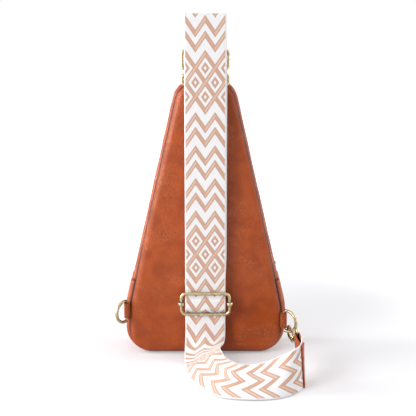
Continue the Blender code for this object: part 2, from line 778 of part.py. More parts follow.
def strand_path():
    """The strap above the floor as x, y and z: sewn tail, bar, fold, ring, fold, slider.

    Layers keep a thickness and a gap apart where they pass each other.
    """
    layer = WEBBING + GAP
    bar_y, bar_z = SLIDER_Y + SLEEVE_RADIUS, SLIDER_HEIGHT
    wrap = SLIDER_BAR_RADIUS + 1.5 * GAP + WEBBING / 2
    behind = SLIDER_Y + WIRE + GAP + WEBBING / 2
    top, foot = SLIDER_HEIGHT + SLIDER_RISE / 2, SLIDER_HEIGHT - SLIDER_RISE / 2
    middle, inner = behind + layer, behind + 2 * layer

    tail = [(middle, STRAP_TAIL_TOP), (middle, top), (behind + 0.7 * layer, top - TAIL_DIP)]
    tail += [(bar_y - wrap + y, bar_z + z) for y, z in TAIL_BENDS]
    turn = arc((bar_y, bar_z), wrap, 180, 360, 8)
    rise = [(bar_y + wrap + RISE_BEND[0], bar_z + RISE_BEND[1]), (inner, top - GAP), (inner, STRAP_TAIL_TOP)]

    shifted = [(middle, STRAP_TAIL_TOP + SHIFT_START), (middle, STRAP_FOLD_HEIGHT - SHIFT_END)]
    fold_y = middle + FOLD_RADIUS
    outer_radius = FOLD_RADIUS + layer
    rear = fold_y + outer_radius
    fold_in = arc((fold_y, STRAP_FOLD_HEIGHT), FOLD_RADIUS, 180, 0, 8)
    ring_wrap = WIRE + GAP + WEBBING / 2
    round_ring = arc((TOP_HARDWARE_Y, STRAP_BAR), ring_wrap, 180, 360, 8)
    ring_edge = TOP_HARDWARE_Y + ring_wrap
    (pull, low), (_, high) = RING_EXIT
    back_up = [(ring_edge - pull, STRAP_BAR + low), ((ring_edge + rear) / 2, STRAP_BAR + high)]
    fold_out = arc((fold_y, STRAP_FOLD_HEIGHT), outer_radius, 0, 180, 10)

    down = [(behind, STRAP_TAIL_TOP), (behind, top)]
    weave = [(behind - y, top - z) for y, z in WEAVE_BENDS]
    weave += [(bar_y - wrap - n * layer, bar_z + z) for n, z in zip(WEAVE_LAYERS, WEAVE_HEIGHTS)]
    weave += [(y, 2 * bar_z - z) for y, z in weave[::-1]]
    weave.append((behind, foot))

    lower = [(0.0, y, z) for y, z in tail + turn + rise]
    moved = [(INNER_STRAND_SHIFT, y, z) for y, z in shifted]
    upper = [(0.0, y, z) for y, z in fold_in + round_ring + back_up + fold_out + down + weave]
    return lower + moved + upper


FLOOR_ROUTE = [
    ((0.000, -0.0396, 0.0460), (1.00, 0.00, 0.00)),
    ((0.000, -0.0415, 0.0300), (1.00, 0.00, 0.00)),
    ((-0.001, -0.0480, 0.0165), (0.97, 0.14, 0.12)),
    ((-0.003, -0.0680, 0.0090), (0.86, 0.38, 0.34)),
    ((0.0035, -0.1080, 0.0110), (0.87, 0.27, 0.41)),
    ((0.0150, -0.1300, 0.0120), (0.70, 0.55, 0.45)),
    ((0.0285, -0.1490, 0.0135), (0.43, 0.76, 0.49)),
    ((0.0550, -0.1540, 0.0140), (0.16, 0.85, 0.50)),
    ((0.0760, -0.1540, 0.0170), (0.04, 0.77, 0.63)),
    ((0.0980, -0.1510, 0.0230), (0.02, 0.45, 0.89)),
    ((0.1110, -0.1360, 0.0250), (-0.06, 0.20, 0.98)),
    ((0.1135, -0.1140, 0.0270), (0.00, 0.06, 1.00)),
]
ROUTE_STEPS = 4
CAP_START = 10
WEBBING_END = 11


def catmull(points, steps):
    """A smooth curve through points, a few samples to each span."""
    points = np.asarray(points, float)
    padded = np.vstack((2 * points[0] - points[1], points, 2 * points[-1] - points[-2]))
    t = (np.arange(steps) / steps)[:, None]
    spans = []
    for a, b, c, d in zip(padded, padded[1:], padded[2:], padded[3:]):
        bend = (2 * a - 5 * b + 4 * c - d) * t**2 + (3 * b - a - 3 * c + d) * t**3
        spans.append(0.5 * (2 * b + (c - a) * t + bend))
    return np.vstack(spans + [points[-1:]])


def floor_band():
    """Centres and width directions of the strap from the slider to its end."""
    up = hook_axes()[1]
    places = [p for p, _ in FLOOR_ROUTE] + [tuple(HOOK_EYE)]
    across = [w for _, w in FLOOR_ROUTE] + [tuple(up)]
    centres, across = catmull(places, ROUTE_STEPS), catmull(across, ROUTE_STEPS)
    across /= np.linalg.norm(across, axis=1)[:, None]
    along = np.gradient(centres, axis=0)
    normal = np.cross(along, across)
    normal /= np.linalg.norm(normal, axis=1)[:, None]
    lowest = across[:, 2] * STRAP_WIDTH / 2 + np.abs(normal[:, 2]) * WEBBING / 2 + BAND_LIFT
    last = WEBBING_END * ROUTE_STEPS
    centres[:last, 2] = np.maximum(centres[:last, 2], lowest[:last])
    return centres, across, normal


def strap():
    """The webbing in one length: its loops above and the band on the floor."""
    centres, across, _ = floor_band()
    stop = WEBBING_END * ROUTE_STEPS + 1
    upper = strand_path()
    places = np.vstack((upper, centres[:stop]))
    widths = np.vstack((np.tile((1.0, 0.0, 0.0), (len(upper), 1)), across[:stop]))
    webbing = material("webbing", (0.90, 0.86, 0.80), 0.85)
    ribbon("strap_webbing", places, widths, [STRAP_WIDTH] * len(places), WEBBING, webbing)


def strap_end():
    """The leather end: two layers over the webbing's end, folded round the hook's eye."""
    centres, across, normal = floor_band()
    start = CAP_START * ROUTE_STEPS
    run = slice(start, len(centres) - 1)
    length = len(centres) - 1 - start
    share = np.linspace(0.0, 1.0, length)[:, None]
    wrap = EYE_WIRE + GAP + LOOP_LEATHER / 2
    off = (WEBBING + LOOP_LEATHER) / 2 + GAP
    off = off + (wrap - off) * np.maximum(0.0, share * 2 - 1)
    widths = STRAP_WIDTH + (STRAP_END_WIDTH - STRAP_WIDTH) * ease(share[:, 0], 0.15, 0.9)
    near = centres[run] - normal[run] * off
    far = centres[run] + normal[run] * off
    along, up, out = hook_axes()
    if np.dot(normal[-1], out) < 0:
        out = -out
    eye = np.array(HOOK_EYE)
    angles = np.radians(np.linspace(-90, 90, 9))[:, None]
    turn = eye + wrap * (np.cos(angles) * np.array(along) + np.sin(angles) * np.array(out))
    places = np.vstack((near, turn, far[::-1]))
    directions = np.vstack((across[run], np.tile(np.array(up), (len(turn), 1)), across[run][::-1]))
    spread = np.concatenate((widths, np.full(len(turn), STRAP_END_WIDTH), widths[::-1]))
    reach = directions[:, 2] * spread / 2 + BAND_LIFT
    places[:, 2] = np.maximum(places[:, 2], reach)
    ribbon("strap_end", places, directions, spread, LOOP_LEATHER, leather("end_leather"))


def hook_target():
    """The point on the right ring's lower wire that the hook holds."""
    bar = tab_bar_x(RIGHT_TAB_HEIGHT)
    x = bar + HOOK_RING_POINT * math.cos(RIGHT_RING_SWING)
    y = TAB_BAR_Y - HOOK_RING_POINT * math.sin(RIGHT_RING_SWING)
    return Vector((x, y, RIGHT_TAB_HEIGHT - D_RING_HEIGHT / 2))


def hook_axes():
    """The hook's own axes: along to its nose, up across it, and out of its plane."""
    along = (hook_target() - HOOK_EYE).normalized()
    up = (HOOK_UP - along * HOOK_UP.dot(along)).normalized()
    return along, up, up.cross(along)


def hook_frame():
    """X is out of the hook's plane, Y across it and Z along to the nose."""
    along, up, out = hook_axes()
    turn = Matrix((out, up, along)).transposed()
    return frame("hook_axis", hook_target() - along * HOOK_REACH, turn)


def snap_hook():
    """The hook's body, its sprung gate on a pin, and the eye that it swivels on."""
    metal = brass("hook_brass")
    carrier = hook_frame()
    bpy.context.view_layer.update()
    across = (1, 0, 0)
    pivot = (0, HOOK_HALF_WIDTH, GATE_PIVOT)
    hole = PIN_RADIUS + PIN_CLEARANCE
    pin_bore = cylinder("pin_bore", hole, BORE_LENGTH, pivot, across, metal, carrier, 12)
    body = hook_body(metal, carrier)
    gate = hook_gate(metal, carrier)
    combine(body, pin_bore, "DIFFERENCE")
    combine(gate, pin_bore, "DIFFERENCE")
    cylinder("gate_pin", PIN_RADIUS, 2 * HOOK_WIRE + PIN_HEADS, pivot, across, metal, carrier, 10)
    hook_eye(metal, carrier)


def wire_in_hook(name, bends, radius, metal, carrier, closed=False):
    """A round wire in the hook's own plane, through places across and along it."""
    points = [(0.0, y, z) for y, z in bends]
    return to_mesh(tube(name, points, radius, metal, carrier, cyclic=closed))


def hook_body(metal, carrier):
    """The collar, the hooked wire, the gate's arm and the lug that carries the pin."""
    half = HOOK_HALF_WIDTH
    axis = (0, 0, 1)
    middle = COLLAR_FOOT + COLLAR_LENGTH / 2
    body = cylinder("hook_body", COLLAR_RADIUS, COLLAR_LENGTH, (0, 0, middle), axis, metal, carrier)
    bow = arc((0.0, HOOK_ARC_START), half, 180, 0, 12)
    spine = [*SPINE_BENDS, (-half, HOOK_SHOULDER), *bow, (half, HOOK_NOSE)]
    low = (-HOOK_WIRE, half - HOOK_WIRE, EAR_FOOT)
    added = [
        wire_in_hook("hook_spine", spine, HOOK_WIRE, metal, carrier),
        wire_in_hook("hook_arm", ARM_BENDS, HOOK_WIRE, metal, carrier),
        block("hook_ear", low, (-GAP, half + HOOK_WIRE, GATE_PIVOT), metal, carrier),
        lug("hook_lug", -1, metal, carrier),
    ]
    for piece in added:
        combine(body, piece, "UNION")
    swivel = cylinder("swivel_bore", POST_RADIUS + GAP, BORE_LENGTH, (0, 0, 0), axis, metal, carrier)
    centre = (0, 0, HEAD_ROOM_CENTRE)
    room = cylinder("head_room", POST_HEAD_RADIUS + GAP, HEAD_ROOM_LENGTH, centre, axis, metal, carrier)
    combine(body, swivel, "DIFFERENCE")
    combine(body, room, "DIFFERENCE")
    return body


def lug(name, side, metal, carrier):
    """Half of the gate's hinge, on one side of the hook's middle plane."""
    width = HOOK_WIRE - GAP
    centre = (side * (HOOK_WIRE + GAP) / 2, HOOK_HALF_WIDTH, GATE_PIVOT)
    return cylinder(name, GATE_EAR_RADIUS, width, centre, (1, 0, 0), metal, carrier)


def hook_gate(metal, carrier):
    """The gate: its half of the hinge and the leaf that closes the mouth."""
    half, foot = HOOK_HALF_WIDTH, GATE_PIVOT
    gate = lug("hook_gate", 1, metal, carrier)
    low = (GAP, half - GATE_WEB_HALF, foot)
    web = block("gate_web", low, (GATE_WIRE, half + GATE_WEB_HALF, foot + GATE_WEB_LENGTH), metal, carrier)
    ends = [(half, foot + LEAF_START), (half, HOOK_NOSE - GAP)]
    combine(gate, web, "UNION")
    combine(gate, wire_in_hook("gate_leaf", ends, GATE_WIRE, metal, carrier), "UNION")
    return gate


def hook_eye(metal, carrier):
    """The eye in the leather's fold and the headed post that turns in the collar."""
    axis = (0, 0, 1)
    middle = (POST_FOOT + POST_TOP) / 2
    post = cylinder("hook_eye", POST_RADIUS, POST_TOP - POST_FOOT, (0, 0, middle), axis, metal, carrier)
    loop = wire_in_hook("eye_loop", eye_outline(), EYE_WIRE, metal, carrier, closed=True)
    seat = (0, 0, POST_TOP + GAP)
    head = cylinder("post_head", POST_HEAD_RADIUS, POST_HEAD_LENGTH, seat, axis, metal, carrier)
    combine(post, loop, "UNION")
    combine(post, head, "UNION")


def eye_outline():
    """The eye's centre line: wide at the leather's bar, narrow at the post."""
    bar = HOOK_REACH - (hook_target() - HOOK_EYE).length
    side, low = EYE_WIDTH / 2 - EYE_CORNER, bar + EYE_CORNER
    wide = arc((-side, low), EYE_CORNER, 180, 270, 3) + arc((side, low), EYE_CORNER, 270, 360, 3)
    narrow, cut, neck = EYE_NECK / 2, EYE_NECK_CUT, EYE_NECK_PLACE
    top = [(narrow, neck - cut), (narrow - cut, neck), (cut - narrow, neck), (-narrow, neck - cut)]
    return wide + top


def build():
    back_panel()
    front_panel()
    bottom_gusset()
    zip_gusset("zip_gusset_back", -1)
    zip_gusset("zip_gusset_front", 1)
    main_zip()
    pocket_zip()
    zip_sliders()
    base_board()
    top_hardware()
    side_tab("left_tab", -1, LEFT_TAB_HEIGHT)
    side_tab("right_tab", 1, RIGHT_TAB_HEIGHT)
    d_ring("left_ring", -1, LEFT_TAB_HEIGHT, LEFT_RING_SWING)
    d_ring("right_ring", 1, RIGHT_TAB_HEIGHT, RIGHT_RING_SWING)
    strap_slider()
    strap()
    strap_end()
    snap_hook()
    bpy.context.view_layer.update()


build()
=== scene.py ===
"""Looks of a cognac leather sling bag with a woven zigzag strap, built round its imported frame.

Metres, +Z up. The bag stands on its base at z = 0 and its back, which the camera sees, faces -Y.
"""

import json
import logging
import math
import sys
from dataclasses import dataclass, field
from enum import Enum
from typing import Callable

import bmesh
import bpy
import numpy as np
from bpy.types import Material, Mesh, Node, NodeSocket, NodeTree, Object
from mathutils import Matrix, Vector

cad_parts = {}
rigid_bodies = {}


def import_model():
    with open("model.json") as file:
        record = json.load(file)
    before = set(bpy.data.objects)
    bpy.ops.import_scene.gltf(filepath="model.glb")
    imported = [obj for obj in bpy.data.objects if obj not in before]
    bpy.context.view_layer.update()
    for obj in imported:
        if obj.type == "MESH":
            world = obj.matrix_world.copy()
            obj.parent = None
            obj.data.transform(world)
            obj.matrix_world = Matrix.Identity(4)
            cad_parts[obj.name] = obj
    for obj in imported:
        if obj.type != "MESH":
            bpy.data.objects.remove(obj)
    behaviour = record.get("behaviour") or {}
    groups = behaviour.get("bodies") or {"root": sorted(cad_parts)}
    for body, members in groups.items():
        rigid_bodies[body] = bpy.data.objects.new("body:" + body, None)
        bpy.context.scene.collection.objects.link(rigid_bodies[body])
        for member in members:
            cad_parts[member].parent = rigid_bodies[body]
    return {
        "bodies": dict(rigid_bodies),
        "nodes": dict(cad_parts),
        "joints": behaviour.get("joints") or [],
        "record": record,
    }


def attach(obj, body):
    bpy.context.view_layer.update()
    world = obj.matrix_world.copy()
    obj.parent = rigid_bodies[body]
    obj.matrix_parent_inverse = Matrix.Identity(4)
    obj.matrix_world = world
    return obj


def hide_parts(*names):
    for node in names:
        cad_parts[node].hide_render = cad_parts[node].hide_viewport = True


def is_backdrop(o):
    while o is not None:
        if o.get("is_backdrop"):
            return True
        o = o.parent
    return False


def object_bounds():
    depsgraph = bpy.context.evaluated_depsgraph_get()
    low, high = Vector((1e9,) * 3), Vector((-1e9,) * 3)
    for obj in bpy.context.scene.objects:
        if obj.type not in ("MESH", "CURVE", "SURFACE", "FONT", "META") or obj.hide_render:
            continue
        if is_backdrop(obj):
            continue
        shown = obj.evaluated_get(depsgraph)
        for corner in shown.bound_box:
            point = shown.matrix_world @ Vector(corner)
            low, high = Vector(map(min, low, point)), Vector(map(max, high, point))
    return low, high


Array = np.ndarray
Colour = tuple[float, float, float, float]
Bends = tuple[tuple[float, float], ...]
LOG = logging.getLogger("sling_bag")
PLACE_MAP = "along_and_across"
# The point attribute that holds each leather point's share of painted seam shade.
SEAM_SHADE = "crease"
MM = 1000.0
X_AXIS, Y_AXIS, Z_AXIS = np.eye(3)


class Slot(Enum):
    """The record's material slots that the new pieces belong to."""

    LEATHER = "leather"
    WEBBING = "webbing"
    BRASS = "brass"
    TAPE = "zip_tape"
    TEETH = "zip_teeth"


class Side(Enum):
    """A side of the bag, as the sign of its X."""

    LEFT = -1
    RIGHT = 1


class Face(Enum):
    """A face of the bag, as the sign of its Y."""

    BACK = -1
    FRONT = 1


def ease(value: Array | float, low: float, high: float) -> Array:
    """A smooth step, 3t^2 - 2t^3, from 0 at low to 1 at high."""
    t = np.clip((np.asarray(value, float) - low) / (high - low), 0.0, 1.0)
    return t * t * (3 - 2 * t)


def unit(vectors: Array) -> Array:
    """Vectors divided by their own lengths."""
    return vectors / np.linalg.norm(vectors, axis=-1, keepdims=True)


def lengths_along(points: Array) -> Array:
    """The distance along a polyline at each of its points."""
    steps = np.linalg.norm(np.diff(points, axis=0), axis=1)
    return np.concatenate(((0.0,), np.cumsum(steps)))


def resample(values: Array, along: Array, count: int) -> Array:
    """Rows of values at even distances along their polyline."""
    even = np.linspace(0.0, along[-1], count)
    return np.stack([np.interp(even, along, column) for column in values.T], axis=-1)


def soften(values: Array, spread: float) -> Array:
    """Rows averaged with a bell-shaped window of that many rows, with both ends held.

    Args:
        values: Rows of a path.
        spread: The window's standard deviation, in rows.

    Returns:
        As many rows, smoother.
    """
    reach = int(math.ceil(3 * spread))
    window = np.exp(-0.5 * (np.arange(-reach, reach + 1) / spread) ** 2)
    window /= window.sum()
    head = 2 * values[0] - values[reach:0:-1]
    tail = 2 * values[-1] - values[-2 : -reach - 2 : -1]
    padded = np.vstack((head, values, tail))
    return np.stack([np.convolve(column, window, mode="valid") for column in padded.T], axis=-1)


def columns(*parts: Array | float) -> Array:
    """Numbers and arrays spread to one shape and put side by side on a last axis."""
    return np.stack(np.broadcast_arrays(*parts), axis=-1)


def arc(centre: tuple[float, float], radius: float, start: float, end: float, steps: int) -> Array:
    """Points on an arc in a plane, from one angle in degrees to another."""
    angles = np.radians(np.linspace(start, end, steps + 1))
    return np.asarray(centre) + radius * columns(np.cos(angles), np.sin(angles))


def circle(first: Array, second: Array, sides: int) -> Array:
    """Directions all round, as cosine and sine shares of two that stand square to each other."""
    turn = np.linspace(0.0, 2 * np.pi, sides, endpoint=False)[:, None]
    return np.cos(turn) * first[..., None, :] + np.sin(turn) * second[..., None, :]


def rounded_rectangle(width: float, height: float, radius: float, steps: int = 6) -> Array:
    """A closed outline, centred on the origin, whose corners are quarter circles.

    Args:
        width: Its size along its first axis.
        height: Its size along its second.
        radius: Its corners' radius.
        steps: Steps on each corner.

    Returns:
        Its points, from the right side round by the top.
    """
    corners = []
    for quarter, (sx, sy) in enumerate(((1, 1), (-1, 1), (-1, -1), (1, -1))):
        centre = (sx * (width / 2 - radius), sy * (height / 2 - radius))
        corners.append(arc(centre, radius, 90 * quarter, 90 * quarter + 90, steps))
    return np.vstack(corners)


def even_outline(outline: Array, spacing: float) -> Array:
    """A closed outline with points at even distances.

    Args:
        outline: Its points.
        spacing: The distance wanted between two points.

    Returns:
        The new points, from the same start.
    """
    closed = np.vstack((outline, outline[:1]))
    along = lengths_along(closed)
    return resample(closed, along, int(along[-1] / spacing) + 1)[:-1]


def heading(path: Array, closed: bool = False) -> Array:
    """Unit directions along a path, each from the point before to the point after."""
    steps = np.roll(path, -1, axis=0) - np.roll(path, 1, axis=0) if closed else np.gradient(path, axis=0)
    return unit(steps)


def grid_faces(rows: int, columns: int, close_rows: bool = False, close_columns: bool = False) -> Array:
    """Quads between the points of a grid, numbered row by row.

    Args:
        rows: Rows of points.
        columns: Points in each row.
        close_rows: Whether the last row joins the first.
        close_columns: Whether each row's last point joins its first.

    Returns:
        One row of four point numbers for each quad.
    """
    number = np.arange(rows * columns).reshape(rows, columns)
    if close_rows:
        number = np.vstack((number, number[:1]))
    if close_columns:
        number = np.hstack((number, number[:, :1]))
    quads = np.stack((number[:-1, :-1], number[1:, :-1], number[1:, 1:], number[:-1, 1:]), axis=-1)
    return quads.reshape(-1, 4)


def swept_faces(rows: int, count: int, closed: bool = False) -> list[list[int]]:
    """Faces of a closed section carried along a path.

    Args:
        rows: Points of the path.
        count: Points of the section.
        closed: Whether the path's end joins its start. If not, one face closes each end.

    Returns:
        Lists of point numbers, with the points numbered section by section.
    """
    faces = grid_faces(rows, count, close_rows=closed, close_columns=True).tolist()
    if not closed:
        faces += [list(range(count)), list(range(rows * count - 1, (rows - 1) * count - 1, -1))]
    return faces


def linked(name: str, data: bpy.types.ID) -> Object:
    """Put a new object in the scene.

    Args:
        name: Its name.
        data: Its mesh, lamp or camera.

    Returns:
        The object.
    """
    made = bpy.data.objects.new(name, data)
    bpy.context.scene.collection.objects.link(made)
    return made


@dataclass
class Surface:
    """Points and faces of one piece, gathered from the forms that it is made of."""

    points: list[Array] = field(default_factory=list)
    faces: list[list[int]] = field(default_factory=list)
    places: list[Array] = field(default_factory=list)
    count: int = 0

    def add(self, points: Array, faces: list, places: Array | None = None) -> None:
        """Add a form.

        Args:
            points: Its points, with x, y and z on the last axis.
            faces: Point numbers of each face, counted from this form's first point.
            places: Two pattern coordinates for each point.
        """
        points = points.reshape(-1, 3)
        self.points.append(points)
        self.faces += [[k + self.count for k in face] for face in faces]
        self.places.append(np.zeros((len(points), 2)) if places is None else places)
        self.count += len(points)

    def tube(self, centres: Array, radius: Array | float, plane: Array, closed: bool = False, sides: int = 16) -> None:
        """Add a round wire: a circle carried along a path, whose ends are domes.

        Args:
            centres: The path.
            radius: One radius, or one for each point of the path.
            plane: A direction that the path never runs along, such as its plane's normal.
            closed: Whether the path's end joins its start.
            sides: Points round the wire.
        """
        radii = np.broadcast_to(np.asarray(radius, float), (len(centres),))
        if not closed:
            centres, radii = self.domed(centres, radii)
        along = heading(centres, closed)
        side = unit(np.cross(along, plane))
        ring = circle(side, np.cross(side, along), sides)
        self.add(centres[:, None] + radii[:, None, None] * ring, swept_faces(len(centres), sides, closed))

    @staticmethod
    def domed(centres: Array, radii: Array) -> tuple[Array, Array]:
        """Draw both ends of a wire out into domes: rings on a quarter circle, at four angles.

        Args:
            centres: The wire's path.
            radii: Its radius at each point.

        Returns:
            The longer path and its radii.
        """
        turn = np.radians((20.0, 40.0, 60.0, 78.0))[:, None]
        first = unit(centres[0] - centres[1]) * radii[0]
        last = unit(centres[-1] - centres[-2]) * radii[-1]
        head, tail = centres[0] + np.sin(turn) * first, centres[-1] + np.sin(turn) * last
        falls = np.cos(turn[:, 0])
        grown = np.concatenate((radii[0] * falls[::-1], radii, radii[-1] * falls))
        return np.vstack((head[::-1], centres, tail)), grown

    def band(
        self, centres: Array, across: Array, section: Array, widen: Array | float = 1.0, closed: bool = False
    ) -> None:
        """Add a band: a closed section carried along a path, with its own pattern places.

        Args:
            centres: The path.
            across: The direction of the section's first axis, everywhere or at each point.
            section: The section's outline, as distances across and off the band.
            widen: What the distances across are multiplied by along the path.
            closed: Whether the path's end joins its start.
        """
        across = unit(np.broadcast_to(across, centres.shape))
        off = unit(np.cross(heading(centres, closed), across))
        wide = np.broadcast_to(np.asarray(widen, float), (len(centres),))
        step = (wide[:, None] * section[None, :, 0])[..., None] * across[:, None]
        points = centres[:, None] + step + section[None, :, 1, None] * off[:, None]
        places = columns(section[None, :, 0], lengths_along(centres)[:, None]).reshape(-1, 2)
        self.add(points, swept_faces(len(centres), len(section), closed), places)

    def turned(self, profile: Array, origin: Array, axis: Array, sides: int = 28) -> None:
        """Add a form turned round an axis, from a closed profile of radii and heights.

        Args:
            profile: Radii and heights, in order round the section, all radii above 0.
            origin: The point where the height is 0.
            axis: The direction of the axis.
            sides: Points round the form.
        """
        axis = unit(np.asarray(axis, float))
        first = unit(np.cross(axis, X_AXIS if abs(axis[0]) < 0.9 else Y_AXIS))
        ring = circle(first, np.cross(axis, first), sides)
        points = np.asarray(origin) + profile[:, :1] * ring[:, None] + profile[:, 1:] * axis
        self.add(points, grid_faces(sides, len(profile), close_rows=True, close_columns=True).tolist())

    def repeated(self, form: Array, faces: list, origins: Array, axes: Array) -> None:
        """Add a small form many times over.

        Args:
            form: The form's points in its own three axes.
            faces: Its faces.
            origins: Where each copy goes.
            axes: Each copy's three axes, one row each.
        """
        points = origins[:, None] + np.einsum("pk,nkd->npd", form, axes)
        starts = range(0, len(origins) * len(form), len(form))
        self.add(points, [[k + start for k in face] for start in starts for face in faces])

    def build(self, name: str, sharp: float = 40.0) -> Object:
        """Make the object.

        Args:
            name: The piece's name.
            sharp: Edges that bend by more than this many degrees stay sharp.

        Returns:
            The object, at the origin, with its faces pointing outwards.
        """
        mesh = bpy.data.meshes.new(name)
        mesh.from_pydata(np.vstack(self.points).tolist(), [], self.faces)
        corner = np.empty(len(mesh.loops), np.int32)
        mesh.loops.foreach_get("vertex_index", corner)
        layer = mesh.uv_layers.new(name=PLACE_MAP)
        layer.uv.foreach_set("vector", np.vstack(self.places)[corner].astype(np.float32).ravel())
        outwards(mesh)
        mesh.shade_smooth()
        mesh.set_sharp_from_angle(angle=math.radians(sharp))
        return linked(name, mesh)


def outwards(mesh: Mesh) -> None:
    """Turn the faces of closed forms outwards.

    Args:
        mesh: The mesh.
    """
    work = bmesh.new()
    work.from_mesh(mesh)
    bmesh.ops.recalc_face_normals(work, faces=work.faces)
    work.to_mesh(mesh)
    work.free()


def capsule(length: float, width: float, height: float) -> tuple[Array, list]:
    """A short rounded bar for a stitch or a zip tooth, with its length on its first axis.

    It is a squashed ball: rings at four angles from pole to pole, six points round each.

    Args:
        length: Its length.
        width: Its size on its second axis.
        height: Its size on its third.

    Returns:
        Its points and its faces.
    """
    lean = np.radians((-72.0, -30.0, 30.0, 72.0))[:, None]
    turn = np.radians(np.arange(0, 360, 60))
    rings = columns(
        np.sin(lean) * length / 2, np.cos(lean) * np.cos(turn) * width / 2, np.cos(lean) * np.sin(turn) * height / 2
    )
    points = np.vstack((rings.reshape(-1, 3), ((-length / 2, 0, 0), (length / 2, 0, 0))))
    faces = grid_faces(4, 6, close_columns=True).tolist()
    first, last = len(points) - 2, len(points) - 1
    faces += [[first, k, (k + 1) % 6] for k in range(6)]
    faces += [[last, 18 + (k + 1) % 6, 18 + k] for k in range(6)]
    return points, faces


@dataclass(frozen=True)
class Thread:
    """Sewing thread, laid along a path as single stitches."""

    pitch: float = 0.0032
    length: float = 0.0026
    width: float = 0.00075
    height: float = 0.0006

    def sew(self, surface: Surface, path: Array, out: Array) -> None:
        """Add stitches along a path.

        Args:
            surface: The piece that holds the stitches.
            path: Where the seam runs, on the leather.
            out: The leather's outward direction, everywhere or at each point of the path.
        """
        along = lengths_along(path)
        count = max(2, int(along[-1] / self.pitch))
        rows = resample(np.hstack((path, np.broadcast_to(out, path.shape))), along, 2 * count + 1)[1::2]
        places, outward = rows[:, :3], unit(rows[:, 3:])
        forward = heading(places)
        side = unit(np.cross(outward, forward))
        form, faces = capsule(self.length, self.width, self.height)
        surface.repeated(form, faces, places, np.stack((forward, side, np.cross(forward, side)), axis=1))


def formula(operation: str, turned: bool = False) -> Callable[..., "Value"]:
    """Make an operator for values.

    Args:
        operation: The Math node's operation.
        turned: Whether the other number comes first.

    Returns:
        The operator.
    """

    def work(value: "Value", *others: object) -> "Value":
        """Add the Math node."""
        return value.net.math(operation, *(others + (value,) if turned else (value,) + others))

    return work


@dataclass(frozen=True, eq=False)
class Value:
    """What a node puts out. Formulas with it add Math nodes to its net."""

    net: "Net"
    socket: NodeSocket

    __add__, __sub__, __rsub__ = formula("ADD"), formula("SUBTRACT"), formula("SUBTRACT", turned=True)
    __mul__, __mod__, __abs__ = formula("MULTIPLY"), formula("FLOORED_MODULO"), formula("ABSOLUTE")
    __truediv__, __rtruediv__ = formula("DIVIDE"), formula("DIVIDE", turned=True)
    __gt__, __lt__ = formula("GREATER_THAN"), formula("LESS_THAN")
    low, high = formula("MINIMUM"), formula("MAXIMUM")


@dataclass
class Net:
    """A node tree being filled in, with one short method for each kind of node."""

    tree: NodeTree

    def node(self, kind: str, **settings: object) -> Node:
        """Add a node.

        Args:
            kind: The node's type.
            settings: Its properties by name.

        Returns:
            The node.
        """
        made = self.tree.nodes.new(kind)
        for name, value in settings.items():
            setattr(made, name, value)
        return made

    def feed(self, socket: NodeSocket, value: object) -> None:
        """Link a socket to a value, or set it.

        Args:
            socket: An input socket.
            value: A node's value, or a plain number, colour or vector.
        """
        if isinstance(value, Value):
            self.tree.links.new(value.socket, socket)
        else:
            socket.default_value = value

    def fill(self, node: Node, **values: object) -> None:
        """Feed a node's inputs by name, with underscores for the names' spaces."""
        for name, value in values.items():
            self.feed(node.inputs[name.replace("_", " ")], value)

    def worked(self, kind: str, output: int | str, inputs: dict, **settings: object) -> Value:
        """Add a node and take one of its outputs.

        Args:
            kind: The node's type.
            output: The output's number or name.
            inputs: What its inputs are fed, by number or name.
            settings: Its properties by name.

        Returns:
            The output.
        """
        made = self.node(kind, **settings)
        for key, value in inputs.items():
            self.feed(made.inputs[key], value)
        return Value(self, made.outputs[output])

    def math(self, operation: str, *values: object) -> Value:
        """The result of a Math node."""
        return self.worked("ShaderNodeMath", 0, dict(enumerate(values)), operation=operation)

    def mix(self, share: object, first: object, second: object) -> Value:
        """A colour between two others."""
        return self.worked("ShaderNodeMix", 2, {0: share, 6: first, 7: second}, data_type="RGBA")

    def step(self, value: Value, low: float, high: float, start: float = 0.0, end: float = 1.0) -> Value:
        """A smooth step from start at low to end at high."""
        inputs = dict(enumerate((value, low, high, start, end)))
        return self.worked("ShaderNodeMapRange", 0, inputs, interpolation_type="SMOOTHSTEP")

    def noise(self, place: Value, scale: object, detail: float, rough: float = 0.55, twist: float = 0.0) -> Value:
        """Fractal noise from 0 to 1, with scale in features per metre."""
        inputs = {"Vector": place, "Scale": scale, "Detail": detail, "Roughness": rough, "Distortion": twist}
        return self.worked("ShaderNodeTexNoise", 0, inputs)

    def parts(self, vector: Value) -> list[Value]:
        """A vector's x, y and z."""
        return [self.worked("ShaderNodeSeparateXYZ", axis, {0: vector}) for axis in range(3)]

    def group(self, tree: NodeTree, **values: object) -> list[Value]:
        """Place a node group.

        Args:
            tree: The group.
            values: What its inputs are fed, with underscores for the names' spaces.

        Returns:
            All of its outputs.
        """
        made = self.node("ShaderNodeGroup", node_tree=tree)
        self.fill(made, **values)
        return [Value(self, output) for output in made.outputs]


def new_group(name: str, inputs: dict[str, str], outputs: tuple[str, ...]) -> tuple[Net, list[Value], Node]:
    """Start a shader node group.

    Args:
        name: The group's name.
        inputs: NodeSocket kinds by name.
        outputs: Names of its outputs, which are all plain numbers.

    Returns:
        The group's net, its inputs' values and its output node.
    """
    tree = bpy.data.node_groups.new(name, "ShaderNodeTree")
    for label, kind in inputs.items():
        tree.interface.new_socket(name=label, in_out="INPUT", socket_type=f"NodeSocket{kind}")
    for label in outputs:
        tree.interface.new_socket(name=label, in_out="OUTPUT", socket_type="NodeSocketFloat")
    net = Net(tree)
    given = [Value(net, output) for output in list(net.node("NodeGroupInput").outputs)[: len(inputs)]]
    return net, given, net.node("NodeGroupOutput")


